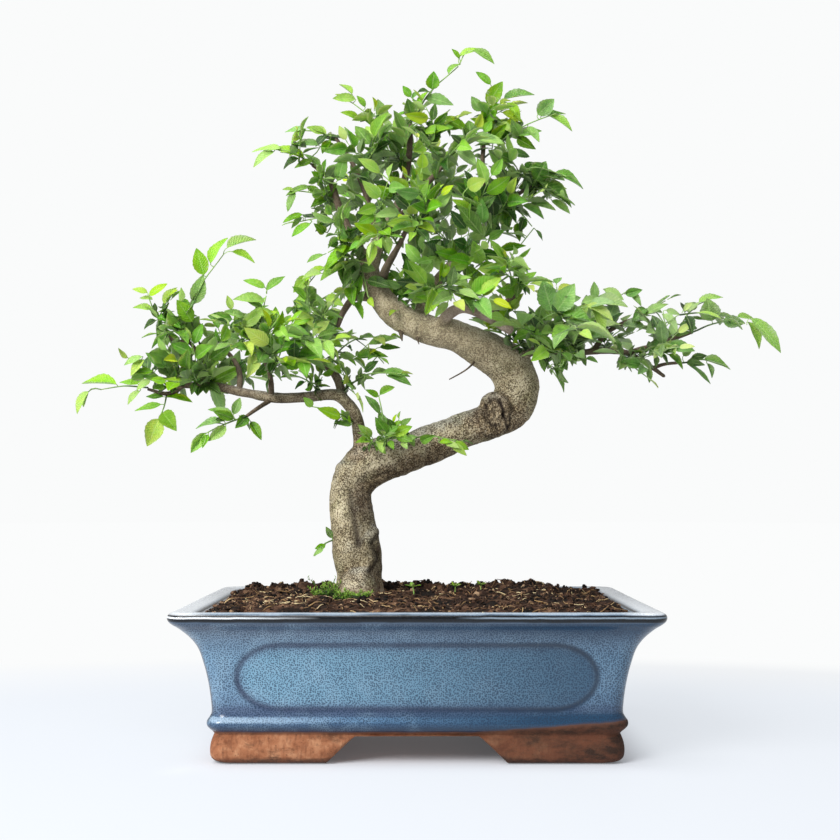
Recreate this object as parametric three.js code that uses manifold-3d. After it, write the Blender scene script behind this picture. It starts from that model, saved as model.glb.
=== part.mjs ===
// Chinese elm bonsai in a glazed tray pot, about 43 cm wide and 42 cm tall.
// Millimetres, +Z up. The origin is the middle of the pot, on the surface that it stands on.
// +X runs along the pot's length, and the front of the pot faces -Y.
import * as THREE from 'three';
import { mergeVertices } from 'three/addons/utils/BufferGeometryUtils.js';
import Module from 'manifold-3d';

const manifold = await Module();
manifold.setup();

// Fit
const GAP = 0.35;
const MERGE_TOLERANCE = 0.0001;

// Pot
const RIM_LENGTH = 260;
const RIM_DEPTH = 200;
const POT_HEIGHT = 82;
const CORNER_RADIUS = 9;
const CORNER_STEPS = 3;
const FOOT_HEIGHT = 14;
const FOOT_WALL = 15;
const FOOT_LENGTH = 60;
const FOOT_DEPTH = 44;
const FOOT_SLANT = 15;
const FLOOR_TOP = 20;
const DRAIN_RADIUS = 11;
const DRAIN_SIDES = 20;
const DRAIN_OFFSET = 56;
const PANEL_LENGTH = 192;
const PANEL_SIDE_LENGTH = 120;
const PANEL_HEIGHT = 35;
const PANEL_CENTRE = 46.5;
const PANEL_END = 24;
const PANEL_END_STEPS = 6;
const PANEL_SINK = 1;
const CUT_PAST = 2;

// Heights and insets from the edge of the rim, from the underside up to the nose of the rim
const OUTER_WALL = [
  [FOOT_HEIGHT, 20.2], [17, 19.7], [20.5, 17.2], [23, 17.4], [25.5, 18.7], [40, 17.7], [53, 14.9],
  [63, 11.9], [69, 8.6], [74, 3.4], [77.5, 0.5], [79.8, 0], [81.5, 1], [POT_HEIGHT, 2.8],
];
const RIM_INSIDE = [[POT_HEIGHT, 11.2], [80.6, 13.2]];
const INNER_WALL = [[72, 15.6], [60, 20], [45, 23.6], [27, 25.8], [FLOOR_TOP + 2, 27], [FLOOR_TOP, 29]];
const FOOT_OUTLINE = [[0, 21.4], [1.6, 19.4], [5, 18.1], [9, 18.4], [13, 20.4], [FOOT_HEIGHT + 1, 22]];

// Drainage mesh
const MESH_SIZE = 34;
const MESH_THICKNESS = 1.2;
const MESH_BARS = 5;
const MESH_BAR = 1.8;

// Soil
const SOIL_EDGE_HEIGHT = 78.5;
const SOIL_HEIGHT = 86;
const SOIL_TOP = [[81.6, 18], [84, 24], [85.2, 36], [85.8, 70], [SOIL_HEIGHT, RIM_LENGTH / 2]];
const SOIL_SLOPE = 0.07;
const SOIL_SLOPE_EDGE = 16;
const SOIL_SLOPE_FULL = 34;

// Trunk, limbs and roots: points [x, y, z, radius]
const TRUNK_SIDES = 10;
const LIMB_SIDES = 6;
const TWIG_SIDES = 5;
const STEM_SIDES = 4;
const TRUNK_LOWER = [
  [-33, -12, 56, 13], [-33, -12, 74, 15.5], [-34, -12, 84, 14.4], [-35, -10, 108, 13.3],
  [-38, -8, 129, 13.1], [-39, -5, 146, 12.2], [-37, -3, 159, 11.5],
];
const TRUNK_UPPER = [
  [-38, -4, 152, 11], [-33, -3, 160, 13], [-25, -2, 164, 13.4], [-12, 0, 167, 12],
  [5, 2, 173, 11.8], [26, 4, 182, 11], [46, 6, 189, 11.3], [58, 7, 198, 13.2], [61, 7, 209, 13],
  [58, 6, 221, 12.4], [48, 4, 230, 11.2], [36, 2, 235, 10.3], [24, 0, 240, 9.6],
  [2, -2, 245, 8.6], [-12, -2, 252, 8.1], [-22, -1, 263, 7.5], [-28, 0, 275, 6.3],
  [-29, 1, 286, 5],
];
const FIRST_BEND = [-37, -3.5, 156, 12.6];
const LIMBS = [
  [[50, 2, 194, 11], [42, 0, 200, 5]],
  [[-29, 1, 284, 5], [-23, 4, 299, 4], [-12, 6, 321, 3.1], [-6, 2, 345, 2.3], [-4, 0, 370, 1.5]],
  [[-32, -3, 162, 8], [-34, -6, 180, 4.6], [-38, -10, 193, 3.6], [-46, -10, 202, 3.5],
    [-67, -6, 202, 3.1], [-88, -2, 202, 3.4], [-108, 4, 206, 2.8], [-125, 10, 210, 2.7],
    [-146, 16, 211, 1.8]],
  [[-44, -9, 201, 2.9], [-48, -2, 213, 2.7], [-56, 8, 223, 2.3], [-68, 16, 233, 1.9],
    [-74, 20, 243, 1.5]],
  [[9, -4, 247, 5], [15, -20, 255, 3.9], [26, -24, 255, 3.6], [39, -26, 249, 3.3],
    [55, -26, 240, 3]],
  [[60, 4, 226, 7], [78, -2, 231, 3.5], [93, -4, 229, 2.9], [114, -6, 230, 2.5],
    [126, -8, 228, 2.2], [135, -8, 223, 1.9], [148, -8, 214, 1.4]],
  [[0, 0, 246, 6], [7, 8, 266, 4], [23, 10, 287, 3.2], [42, 8, 307, 2.6], [55, 4, 322, 1.8],
    [69, 2, 332, 1.2]],
  [[-29, 1, 282, 4.5], [-40, -4, 300, 3], [-48, -4, 319, 2.4], [-54, -6, 335, 1.7],
    [-64, -8, 343, 1.2]],
];
const TWIGS = [
  [[-88, -2, 203, 2.2], [-88, -12, 215, 1.5], [-92, -20, 228, 1.2]],
  [[-108, 4, 206, 2], [-111, 18, 222, 1.6], [-119, 30, 232, 1.4], [-128, 38, 239, 1.1]],
  [[-132, 12, 210, 1.8], [-132, 8, 220, 1.3], [-131, 4, 234, 1.1]],
  [[-132, 7, 226, 1.3], [-140, 8, 237, 1.2], [-150, 10, 238, 1.1], [-156, 10, 245, 1]],
  [[-144, 15, 211, 1.8], [-153, 18, 206, 1.4], [-167, 20, 209, 0.9]],
  [[-89, -3, 200, 1.6], [-95, -10, 195, 1.2], [-101, -14, 190, 1]],
  [[106, -5, 230, 1.8], [113, -2, 240, 1.6], [122, 2, 246, 1.4], [136, 6, 252, 1.1]],
  [[126, -8, 228, 1.8], [139, -12, 232, 1.4], [152, -15, 236, 1.3], [163, -18, 240, 1]],
  [[140, -8, 219, 1.3], [150, -6, 222, 1], [159, -4, 223, 0.8]],
  [[42, -26, 247, 2], [51, -26, 256, 1.4], [59, -24, 261, 1]],
  [[42, 8, 306, 2.3], [41, 6, 327, 1.8], [40, 5, 344, 1.6], [41, 5, 359, 1.2]],
  [[-28, 0, 264, 3.5], [-38, -4, 262, 2.4], [-44, -6, 254, 1.9], [-48, -4, 245, 1.3]],
  [[-23, 4, 298, 3], [-28, 2, 315, 2.2], [-35, 2, 336, 1.7], [-43, 4, 352, 1.3], [-50, 4, 362, 1]],
  [[-28, 1, 280, 4], [-20, 28, 306, 2.5], [-11, 48, 324, 1.9], [-3, 59, 332, 1.3]],
  [[-24, -2, 267, 3.5], [-16, -26, 280, 2.1], [-9, -42, 290, 1.6], [-5, -51, 297, 1.1]],
  [[-12, 6, 321, 2.5], [5, -6, 331, 1.8], [15, -14, 340, 1.2]],
  [[38, 3, 230, 2.2], [30, -9, 218, 1.2], [19, -13, 212, 0.9]],
];
// Short thorns and stubs that were left when twigs were cut
const STUBS = [
  [[-10, -4, 243, 2.6], [-9, -14, 234, 1]],
  [[-1, -4, 241, 2.4], [1, -12, 232, 0.9]],
  [[-37, -14, 106, 8], [-30, -18, 114, 7], [-25, -14, 124, 3]],
  [[-28, -15, 112, 4], [-19, -20, 112, 2.4]],
];
const ROOTS = [
  [[-38, -14, 74, 8], [-58, -24, 66, 4], [-82, -38, 52, 1.8]],
  [[-28, -14, 74, 8], [-6, -26, 66, 4], [22, -44, 52, 1.8]],
  [[-30, -8, 74, 8], [-8, 14, 64, 4], [22, 38, 48, 1.8]],
  [[-38, -8, 74, 8], [-52, 16, 64, 4], [-70, 44, 48, 1.8]],
  [[-33, -12, 62, 9], [-32, -8, 46, 4], [-28, 0, 34, 1.6]],
];

// Leafy shoots: name, path of the stem, number of leaves, length of a leaf
const STEM_RADIUS = 0.9;
const STEM_TIP_RADIUS = 0.6;
const LEAF_THICKNESS = 1;
const LEAF_WIDTH = 0.54;
const LEAF_WIDEST = 0.45;
const LEAF_ANGLE = 0.95;
const END_LEAF_ANGLE = 0.1;
const LEAF_DROOP = 0.18;
const LEAF_TURNS = [0, 0.7, -0.7, 1.4, -1.4, 2.2];
const SHOOTS = [
  ['left_tip_shoot', [[-167, 20, 210], [-184, 23, 211], [-197, 25, 209]], 5, 18],
  ['left_hanging_shoot', [[-155, 18, 205], [-156, 12, 195], [-158, 10, 189]], 4, 20],
  ['left_tall_shoot', [[-132, 4, 235], [-137, 0, 250], [-129, -4, 272], [-117, -6, 288]], 5, 18],
  ['left_corner_shoot', [[-156, 10, 246], [-162, 8, 258], [-165, 6, 267]], 5, 13],
  ['left_end_shoot', [[-152, 18, 208], [-162, 4, 219], [-173, -4, 225]], 5, 15],
  ['left_young_shoot', [[-92, -20, 228], [-92, -23, 245], [-89, -20, 262]], 5, 17],
  ['left_bright_shoot', [[-89, -8, 212], [-80, -30, 226], [-73, -38, 241]], 5, 18],
  ['left_upper_shoot', [[-74, 20, 243], [-74, 14, 264], [-60, 10, 281]], 5, 17],
  ['left_inner_shoot', [[-56, 8, 223], [-38, 6, 238], [-18, 4, 240]], 5, 15],
  ['left_right_shoot', [[-44, -9, 206], [-29, -16, 215], [-12, -18, 215]], 4, 16],
  ['left_under_shoot', [[-101, -14, 190], [-114, -16, 185], [-127, -18, 178]], 6, 16],
  ['left_back_low_shoot', [[-110, 14, 218], [-118, 36, 224], [-129, 54, 236]], 5, 16],
  ['left_back_high_shoot', [[-128, 38, 239], [-116, 44, 250], [-104, 52, 262]], 5, 16],
  ['left_back_right_shoot', [[-68, 16, 233], [-64, 38, 242], [-58, 56, 256]], 5, 16],
  ['fork_cluster', [[-27, -10, 175], [-19, -24, 179], [-8, -31, 178]], 6, 13],
  ['fork_runner', [[-8, -10, 176], [6, -21, 178], [25, -23, 175]], 5, 15],
  ['fork_left_shoot', [[-37, -9, 186], [-48, -22, 192], [-62, -26, 195]], 4, 18],
  ['trunk_sprout', [[-46, -12, 118], [-55, -16, 114], [-60, -18, 108]], 4, 8],
  ['right_tip_shoot', [[163, -18, 240], [180, -22, 245], [193, -26, 243]], 5, 22],
  ['right_tip_upper_shoot', [[152, -15, 236], [166, -12, 256], [176, -10, 261]], 4, 20],
  ['right_low_tip_shoot', [[159, -4, 223], [174, 0, 225], [188, 2, 221]], 5, 14],
  ['right_under_shoot', [[127, -8, 227], [128, -18, 219], [135, -24, 212]], 4, 17],
  ['right_high_shoot', [[113, -2, 240], [119, 8, 260], [132, 12, 271]], 6, 17],
  ['right_middle_shoot', [[139, -12, 232], [145, -22, 243], [155, -26, 250]], 5, 15],
  ['right_great_shoot', [[66, -4, 231], [75, -30, 247], [98, -40, 252]], 4, 24],
  ['right_drooping_shoot', [[76, -2, 229], [79, -14, 219], [84, -16, 211]], 4, 15],
  ['right_back_shoot', [[112, -5, 231], [121, 24, 242], [139, 44, 254]], 6, 16],
  ['crown_top_shoot', [[-4, 0, 370], [8, 2, 390], [26, 4, 408]], 6, 19],
  ['crown_top_left_shoot', [[-7, 3, 342], [-28, 2, 374], [-41, 2, 384]], 5, 17],
  ['crown_left_high_shoot', [[-50, 4, 362], [-61, 4, 366], [-73, 4, 367]], 5, 16],
  ['crown_left_long_shoot', [[-64, -8, 343], [-75, -12, 349], [-90, -14, 351]], 5, 20],
  ['crown_left_middle_shoot', [[-48, -4, 319], [-60, -2, 326], [-74, 0, 328]], 5, 17],
  ['crown_left_front_shoot', [[-36, -2, 294], [-44, -24, 291], [-53, -32, 284]], 5, 20],
  ['crown_top_right_shoot', [[41, 5, 359], [42, 4, 375], [45, 2, 390]], 6, 18],
  ['crown_right_high_shoot', [[41, 5, 350], [65, -4, 367], [84, -8, 374]], 5, 19],
  ['crown_right_long_shoot', [[55, 4, 322], [68, -8, 340], [87, -10, 336]], 5, 18],
  ['crown_right_middle_shoot', [[69, 2, 332], [80, 4, 328], [91, 6, 323]], 5, 17],
  ['crown_front_right_shoot', [[42, 8, 306], [40, -24, 306], [35, -42, 310]], 5, 22],
  ['crown_front_middle_shoot', [[-5, -51, 297], [4, -62, 302], [12, -68, 309]], 6, 18],
  ['crown_front_left_shoot', [[-11, -38, 287], [-18, -56, 296], [-27, -64, 304]], 6, 18],
  ['crown_front_low_shoot', [[23, 10, 286], [27, -24, 283], [36, -44, 284]], 5, 20],
  ['crown_low_bright_shoot', [[5, 5, 260], [9, -30, 264], [22, -46, 265]], 5, 20],
  ['crown_low_right_shoot', [[59, -24, 261], [56, -30, 268], [52, -34, 279]], 5, 20],
  ['crown_back_left_shoot', [[-20, 28, 306], [-33, 56, 332], [-44, 70, 352]], 6, 17],
  ['crown_back_right_shoot', [[-3, 59, 332], [15, 68, 345], [34, 72, 358]], 6, 17],
  ['crown_back_top_shoot', [[-6, 2, 345], [-3, 34, 358], [2, 54, 375]], 6, 17],
  ['crown_back_low_shoot', [[-13, 44, 320], [6, 66, 314], [20, 74, 305]], 6, 17],
];

// Moss and seedlings: places on the soil
const MOSS_TUFTS = [
  ['moss_tuft_left', [-52, -22], [13, 9, 6]],
  ['moss_tuft_front', [-33, -36], [16, 8, 5]],
];
const SEEDLINGS = [
  ['seedling_left', [-2, -30]],
  ['seedling_right', [22, -24]],
  ['seedling_back', [38, 4]],
];
const MOSS_SIDES = 10;
const SEEDLING_HEIGHT = 7;
const SEEDLING_ROOT = 2;
const SEEDLING_LEAF = 5;
const SEEDLING_LEAF_RISE = 0.3;

// Plain colours from the photo
const GLAZE = { color: 0x5f85ad, roughness: 0.25, metalness: 0 };
const PEAT = { color: 0x3b2a1e, roughness: 1, metalness: 0 };
const BARK = { color: 0x8a8170, roughness: 0.9, metalness: 0 };
const LEAF = { color: 0x5f9a2e, roughness: 0.5, metalness: 0 };
const MOSS = { color: 0x6f9a35, roughness: 0.95, metalness: 0 };
const MESH_PLASTIC = { color: 0x1c1c1c, roughness: 0.6, metalness: 0 };

const UP = new THREE.Vector3(0, 0, 1);
const LEAF_FACING = new THREE.Vector3(0, -0.6, 0.8);

// A closed geometry as a solid that can be joined and cut
function solidFrom(geometry) {
  geometry.deleteAttribute('normal');
  geometry.deleteAttribute('uv');
  const merged = mergeVertices(geometry, MERGE_TOLERANCE);
  const triangles = [];
  const corners = merged.index.array;
  for (let i = 0; i < corners.length; i += 3) {
    const [a, b, c] = corners.slice(i, i + 3);
    if (a !== b && b !== c && c !== a) triangles.push(a, b, c);
  }
  return new manifold.Manifold(new manifold.Mesh({
    numProp: 3,
    vertProperties: Float32Array.from(merged.attributes.position.array),
    triVerts: Uint32Array.from(triangles),
  }));
}

function meshFrom(name, solid, look) {
  const { vertProperties, triVerts } = solid.getMesh();
  const geometry = new THREE.BufferGeometry();
  geometry.setAttribute('position', new THREE.BufferAttribute(Float32Array.from(vertProperties), 3));
  geometry.setIndex(Array.from(triVerts));
  geometry.computeVertexNormals();
  const mesh = new THREE.Mesh(geometry, new THREE.MeshStandardMaterial(look));
  mesh.name = name;
  return mesh;
}

function largestPiece(solid) {
  const pieces = solid.decompose();
  return pieces.sort((a, b) => b.volume() - a.volume())[0];
}

function joined(solids) {
  return solids.reduce((whole, next) => whole.add(next));
}

// A solid whose level sections are rounded rectangles that follow the rim, each set in by an inset.
// It is a turned shape whose rings are stretched onto the rectangles.
function traySolid(profile, lift = () => 0) {
  const sides = 4 * (CORNER_STEPS + 1);
  const halfLength = RIM_LENGTH / 2;
  const halfDepth = RIM_DEPTH / 2;
  const outline = profile.map(([height, inset]) => new THREE.Vector2(halfLength - inset, height));
  const turned = new THREE.LatheGeometry(outline, sides);
  const place = turned.attributes.position;
  for (let i = 0; i < place.count; i += 1) {
    const reach = Math.hypot(place.getX(i), place.getZ(i));
    const height = place.getY(i);
    const inset = halfLength - reach;
    const inwards = (halfDepth / 2) / (halfLength - halfDepth / 2);
    const depth = inset < halfDepth / 2 ? halfDepth - inset : reach * inwards;
    const corner = Math.min(CORNER_RADIUS, depth / 2);
    const angle = Math.atan2(place.getX(i), place.getZ(i));
    const step = (Math.round(angle / (2 * Math.PI) * sides) + sides) % sides;
    const quarter = Math.floor(step / (CORNER_STEPS + 1));
    const turn = (quarter + (step % (CORNER_STEPS + 1)) / CORNER_STEPS) * Math.PI / 2;
    const [towardX, towardY] = [[1, 1], [-1, 1], [-1, -1], [1, -1]][quarter];
    const x = towardX * (reach - corner) + corner * Math.cos(turn);
    const y = towardY * (depth - corner) + corner * Math.sin(turn);
    place.setXYZ(i, x, y, height + lift(y, inset, height));
  }
  return solidFrom(turned);
}

function boxSolid(size, centre) {
  return solidFrom(new THREE.BoxGeometry(...size).translate(...centre));
}

// A flat outline in X and Z carried along Y, centred on Y = 0
function slabAlongY(shape, width) {
  const settings = { depth: width, bevelEnabled: false, curveSegments: PANEL_END_STEPS };
  return new THREE.ExtrudeGeometry(shape, settings).translate(0, 0, -width / 2).rotateX(Math.PI / 2);
}

// The end of a profile, on the middle of the pot
function middleAt(height) {
  return [height, RIM_LENGTH / 2];
}

// A tube along a smooth line of points [x, y, z, radius], grown by an extra radius
function limbSolid(points, sides, stepsPerSpan = 2, extra = 0) {
  const line = new THREE.CatmullRomCurve3(
    points.map(([x, y, z]) => new THREE.Vector3(x, y, z)), false, 'centripetal');
  const steps = (points.length - 1) * stepsPerSpan;
  const frames = line.computeFrenetFrames(steps);
  const tube = new THREE.CylinderGeometry(1, 1, 1, sides, steps);
  const place = tube.attributes.position;
  for (let i = 0; i < place.count; i += 1) {
    const level = Math.round((place.getY(i) + 0.5) * steps);
    const along = line.getUtoTmapping(level / steps);
    const span = Math.min(Math.floor(along * (points.length - 1)), points.length - 2);
    const share = along * (points.length - 1) - span;
    const radius = extra + THREE.MathUtils.lerp(points[span][3], points[span + 1][3], share);
    const at = line.getPoint(along)
      .addScaledVector(frames.normals[level], radius * place.getX(i))
      .addScaledVector(frames.binormals[level], -radius * place.getZ(i));
    place.setXYZ(i, at.x, at.y, at.z);
  }
  return solidFrom(tube);
}

function withRadii(path, first, last) {
  return path.map((point, i) => [...point, THREE.MathUtils.lerp(first, last, i / (path.length - 1))]);
}

// Pot: walls and rim, then corner feet, panels and drainage holes
function panelOutline(length, height) {
  const outline = new THREE.Shape();
  const straight = length / 2 - PANEL_END;
  outline.absellipse(straight, 0, PANEL_END, height / 2, -Math.PI / 2, Math.PI / 2);
  outline.absellipse(-straight, 0, PANEL_END, height / 2, Math.PI / 2, 3 * Math.PI / 2);
  return outline;
}

function footGap(length, footLength) {
  const half = length / 2 - footLength;
  const outline = new THREE.Shape();
  outline.moveTo(-half, -CUT_PAST);
  outline.lineTo(half, -CUT_PAST);
  outline.lineTo(half - FOOT_SLANT, FOOT_HEIGHT + CUT_PAST);
  outline.lineTo(FOOT_SLANT - half, FOOT_HEIGHT + CUT_PAST);
  return slabAlongY(outline, RIM_LENGTH);
}

function potSolid() {
  const shell = traySolid([
    middleAt(FOOT_HEIGHT), ...OUTER_WALL, ...RIM_INSIDE, ...INNER_WALL, middleAt(FLOOR_TOP)]);
  const sunk = traySolid([
    middleAt(FOOT_HEIGHT),
    ...OUTER_WALL.map(([height, inset]) => [height, inset + PANEL_SINK]),
    middleAt(POT_HEIGHT)]);
  const longPanel = slabAlongY(panelOutline(PANEL_LENGTH, PANEL_HEIGHT), RIM_LENGTH);
  const sidePanel = slabAlongY(panelOutline(PANEL_SIDE_LENGTH, PANEL_HEIGHT), 2 * RIM_LENGTH);
  const panels = solidFrom(longPanel.translate(0, 0, PANEL_CENTRE))
    .add(solidFrom(sidePanel.rotateZ(Math.PI / 2).translate(0, 0, PANEL_CENTRE)))
    .subtract(sunk);

  const footRing = traySolid([middleAt(0), ...FOOT_OUTLINE, middleAt(FOOT_HEIGHT + 1)]);
  const footInset = FOOT_OUTLINE[2][1];
  const baseLength = RIM_LENGTH - 2 * footInset;
  const baseDepth = RIM_DEPTH - 2 * footInset;
  const hollow = boxSolid(
    [baseLength - 2 * FOOT_WALL, baseDepth - 2 * FOOT_WALL, 3 * FOOT_HEIGHT], [0, 0, 0]);
  const feet = footRing
    .subtract(hollow)
    .subtract(solidFrom(footGap(baseLength, FOOT_LENGTH)))
    .subtract(solidFrom(footGap(baseDepth, FOOT_DEPTH).rotateZ(Math.PI / 2)));

  const drain = new THREE.CylinderGeometry(DRAIN_RADIUS, DRAIN_RADIUS, 2 * FLOOR_TOP, DRAIN_SIDES);
  drain.rotateX(Math.PI / 2);
  const left = solidFrom(drain.clone().translate(-DRAIN_OFFSET, 0, FLOOR_TOP));
  const right = solidFrom(drain.translate(DRAIN_OFFSET, 0, FLOOR_TOP));
  return shell.add(feet).subtract(panels).subtract(left).subtract(right);
}

// Two sets of bars that cross, lying on the floor of the pot
function drainageMesh(offset) {
  const height = FLOOR_TOP + GAP + MESH_THICKNESS / 2;
  const bars = Array.from({ length: MESH_BARS }, (_, i) => {
    const shift = (i / (MESH_BARS - 1) - 0.5) * (MESH_SIZE - MESH_BAR);
    return boxSolid([MESH_BAR, MESH_SIZE, MESH_THICKNESS], [offset + shift, 0, height])
      .add(boxSolid([MESH_SIZE, MESH_BAR, MESH_THICKNESS], [offset, shift, height]));
  });
  return joined(bars);
}

// Soil: it fills the pot and is mounded, higher towards the back
function soilSolid(growth) {
  const floor = FLOOR_TOP + MESH_THICKNESS + 2 * GAP;
  const sides = INNER_WALL.slice(0, -2).reverse().map(([height, inset]) => [height, inset + GAP]);
  const top = SOIL_TOP.map(([height, inset]) => [height + growth, inset]);
  const slope = (y, inset, height) => {
    const share = THREE.MathUtils.smoothstep(inset, SOIL_SLOPE_EDGE, SOIL_SLOPE_FULL);
    return height > SOIL_EDGE_HEIGHT ? SOIL_SLOPE * y * share : 0;
  };
  return traySolid([
    middleAt(floor), [floor, sides[0][1] + 1], ...sides,
    [SOIL_EDGE_HEIGHT, RIM_INSIDE[1][1] + 1], ...top], slope);
}

function soilHeight(y) {
  return SOIL_HEIGHT + SOIL_SLOPE * y;
}

// Trunk with its limbs, twigs and roots
function woodSolid(extra) {
  const firstBend = new THREE.SphereGeometry(FIRST_BEND[3] + extra, TRUNK_SIDES, TRUNK_SIDES / 2);
  return joined([
    limbSolid(TRUNK_LOWER, TRUNK_SIDES, 2, extra),
    limbSolid(TRUNK_UPPER, TRUNK_SIDES, 1, extra),
    solidFrom(firstBend.translate(...FIRST_BEND.slice(0, 3))),
    ...LIMBS.map((points) => limbSolid(points, LIMB_SIDES, 1, extra)),
    ...TWIGS.map((points) => limbSolid(points, TWIG_SIDES, 1, extra)),
    ...STUBS.map((points) => limbSolid(points, LIMB_SIDES, 1, extra)),
    ...ROOTS.map((points) => limbSolid(points, LIMB_SIDES, 1, extra)),
  ]);
}

// A leaf: a thin plate with a pointed oval outline, its base on the stem
function leafSolid(base, forward, normal, length, growth) {
  const half = length * LEAF_WIDTH / 2 + growth;
  const tip = length + growth;
  const outline = new THREE.Shape();
  outline.moveTo(0, 0).lineTo(half, LEAF_WIDEST * tip).lineTo(0, tip).lineTo(-half, LEAF_WIDEST * tip);
  const thickness = LEAF_THICKNESS + 2 * growth;
  const plate = new THREE.ExtrudeGeometry(outline, { depth: thickness, bevelEnabled: false });
  plate.translate(0, 0, -thickness / 2);
  const across = forward.clone().cross(normal);
  const frame = new THREE.Matrix4().makeBasis(across, forward, normal).setPosition(base);
  return solidFrom(plate.applyMatrix4(frame));
}

// Leaves stand in turn on the two sides of the stem, and the last one carries on along it
function leafPlaces(path, count) {
  const line = new THREE.CatmullRomCurve3(path.map((point) => new THREE.Vector3(...point)));
  return Array.from({ length: count }, (_, i) => {
    const along = (i + 1) / count;
    const stem = line.getTangentAt(along);
    const across = stem.clone().cross(LEAF_FACING).normalize().multiplyScalar(i % 2 ? 1 : -1);
    const angle = i === count - 1 ? END_LEAF_ANGLE : LEAF_ANGLE;
    return { base: line.getPointAt(along), stem, across, angle };
  });
}

function turnedLeaf(place, turn, length, growth) {
  const across = place.across.clone().applyAxisAngle(place.stem, turn);
  const forward = place.stem.clone().multiplyScalar(Math.cos(place.angle))
    .addScaledVector(across, Math.sin(place.angle))
    .addScaledVector(UP, -LEAF_DROOP)
    .normalize();
  const normal = across.clone().cross(place.stem).cross(forward).cross(forward).negate().normalize();
  return leafSolid(place.base, forward, normal, length, growth);
}

function touches(first, second) {
  const a = first.boundingBox();
  const b = second.boundingBox();
  const apart = [0, 1, 2].some((i) => a.min[i] > b.max[i] || b.min[i] > a.max[i]);
  return !apart && !first.intersect(second).isEmpty();
}

// Each shoot is a stem with leaves. A leaf turns round the stem until it is clear of the wood and
// of the other shoots, and is left off where there is no room for it.
function shootSolids(wood, woodWithGap) {
  const stems = SHOOTS.map(([, path]) => limbSolid(
    withRadii(path, STEM_RADIUS, STEM_TIP_RADIUS), STEM_SIDES, 1));
  const placed = [];
  return SHOOTS.map(([, path, count, length], own) => {
    const others = [wood, ...stems.filter((_, i) => i !== own), ...placed];
    const leaves = [];
    leafPlaces(path, count).forEach((place) => {
      const turn = LEAF_TURNS.find((angle) => {
        const grown = turnedLeaf(place, angle, length, GAP);
        return !others.some((other) => touches(grown, other));
      });
      if (turn !== undefined) leaves.push(turnedLeaf(place, turn, length, 0));
    });
    placed.push(...leaves);
    return largestPiece(joined([stems[own], ...leaves]).subtract(woodWithGap));
  });
}

function mossSolid([x, y], [length, depth, height], blocked) {
  const tuft = new THREE.SphereGeometry(1, MOSS_SIDES, MOSS_SIDES - 2).rotateX(Math.PI / 2);
  tuft.scale(length, depth, height).translate(x, y, soilHeight(y));
  return largestPiece(solidFrom(tuft).subtract(blocked));
}

// A seedling: an upright stem with two leaves that rise a little from its top
function seedlingSolid([x, y], blocked) {
  const ground = soilHeight(y);
  const top = ground + SEEDLING_HEIGHT;
  const path = [[x, y, ground - SEEDLING_ROOT], [x, y, top]];
  const stem = limbSolid(withRadii(path, STEM_TIP_RADIUS, STEM_TIP_RADIUS), TWIG_SIDES, 1);
  const base = new THREE.Vector3(x, y, top - STEM_TIP_RADIUS);
  const leaf = (side) => {
    const forward = new THREE.Vector3(side, 0, SEEDLING_LEAF_RISE).normalize();
    const normal = new THREE.Vector3(-SEEDLING_LEAF_RISE * side, 0, 1).normalize();
    return leafSolid(base, forward, normal, SEEDLING_LEAF, 0);
  };
  return largestPiece(joined([stem, leaf(1), leaf(-1)]).subtract(blocked));
}

const bonsai = new THREE.Group();
const wood = woodSolid(0);
const woodWithGap = woodSolid(GAP);
const soilWithGap = soilSolid(GAP);
const shoots = shootSolids(wood, woodWithGap);
const blocked = soilWithGap.add(woodWithGap);

bonsai.add(meshFrom('pot', potSolid(), GLAZE));
bonsai.add(meshFrom('drainage_mesh_left', drainageMesh(-DRAIN_OFFSET), MESH_PLASTIC));
bonsai.add(meshFrom('drainage_mesh_right', drainageMesh(DRAIN_OFFSET), MESH_PLASTIC));
bonsai.add(meshFrom('soil', soilSolid(0).subtract(woodWithGap), PEAT));
bonsai.add(meshFrom('trunk_and_branches', wood, BARK));
MOSS_TUFTS.forEach(([name, place, size]) => {
  bonsai.add(meshFrom(name, mossSolid(place, size, blocked), MOSS));
});
SEEDLINGS.forEach(([name, place]) => {
  bonsai.add(meshFrom(name, seedlingSolid(place, blocked), LEAF));
});
SHOOTS.forEach(([name], i) => {
  bonsai.add(meshFrom(name, shoots[i], LEAF));
});

export default bonsai;
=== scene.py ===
"""The looks of a chinese elm bonsai in a glazed tray pot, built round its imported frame.

The lists and constants are in millimetres, +Z up, with the front of the pot towards -Y.
"""
import math
from functools import partial

import bpy
import numpy as np
from bpy.props import FloatProperty, FloatVectorProperty, IntProperty, PointerProperty
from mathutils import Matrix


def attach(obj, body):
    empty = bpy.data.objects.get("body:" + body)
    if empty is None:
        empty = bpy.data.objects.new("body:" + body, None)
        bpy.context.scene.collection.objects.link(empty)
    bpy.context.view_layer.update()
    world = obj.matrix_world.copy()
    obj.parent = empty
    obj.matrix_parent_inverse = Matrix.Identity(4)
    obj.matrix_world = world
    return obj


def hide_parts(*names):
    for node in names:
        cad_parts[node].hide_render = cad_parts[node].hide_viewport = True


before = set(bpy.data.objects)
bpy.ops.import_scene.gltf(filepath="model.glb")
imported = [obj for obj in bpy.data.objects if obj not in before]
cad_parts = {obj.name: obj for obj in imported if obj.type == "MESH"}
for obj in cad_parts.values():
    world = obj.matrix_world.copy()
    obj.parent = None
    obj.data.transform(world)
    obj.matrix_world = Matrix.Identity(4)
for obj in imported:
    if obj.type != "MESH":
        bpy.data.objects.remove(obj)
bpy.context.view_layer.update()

bl_info = {
    "name": "Bonsai in a Glazed Tray Pot",
    "version": (1, 0, 0),
    "blender": (4, 5, 0),
    "location": "3D View > Sidebar > Bonsai",
    "description": "Builds a small elm tree with leafy pads, its soil and its glazed tray pot",
    "category": "Add Mesh",
}

MM = 0.001
BODY = "root"

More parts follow.
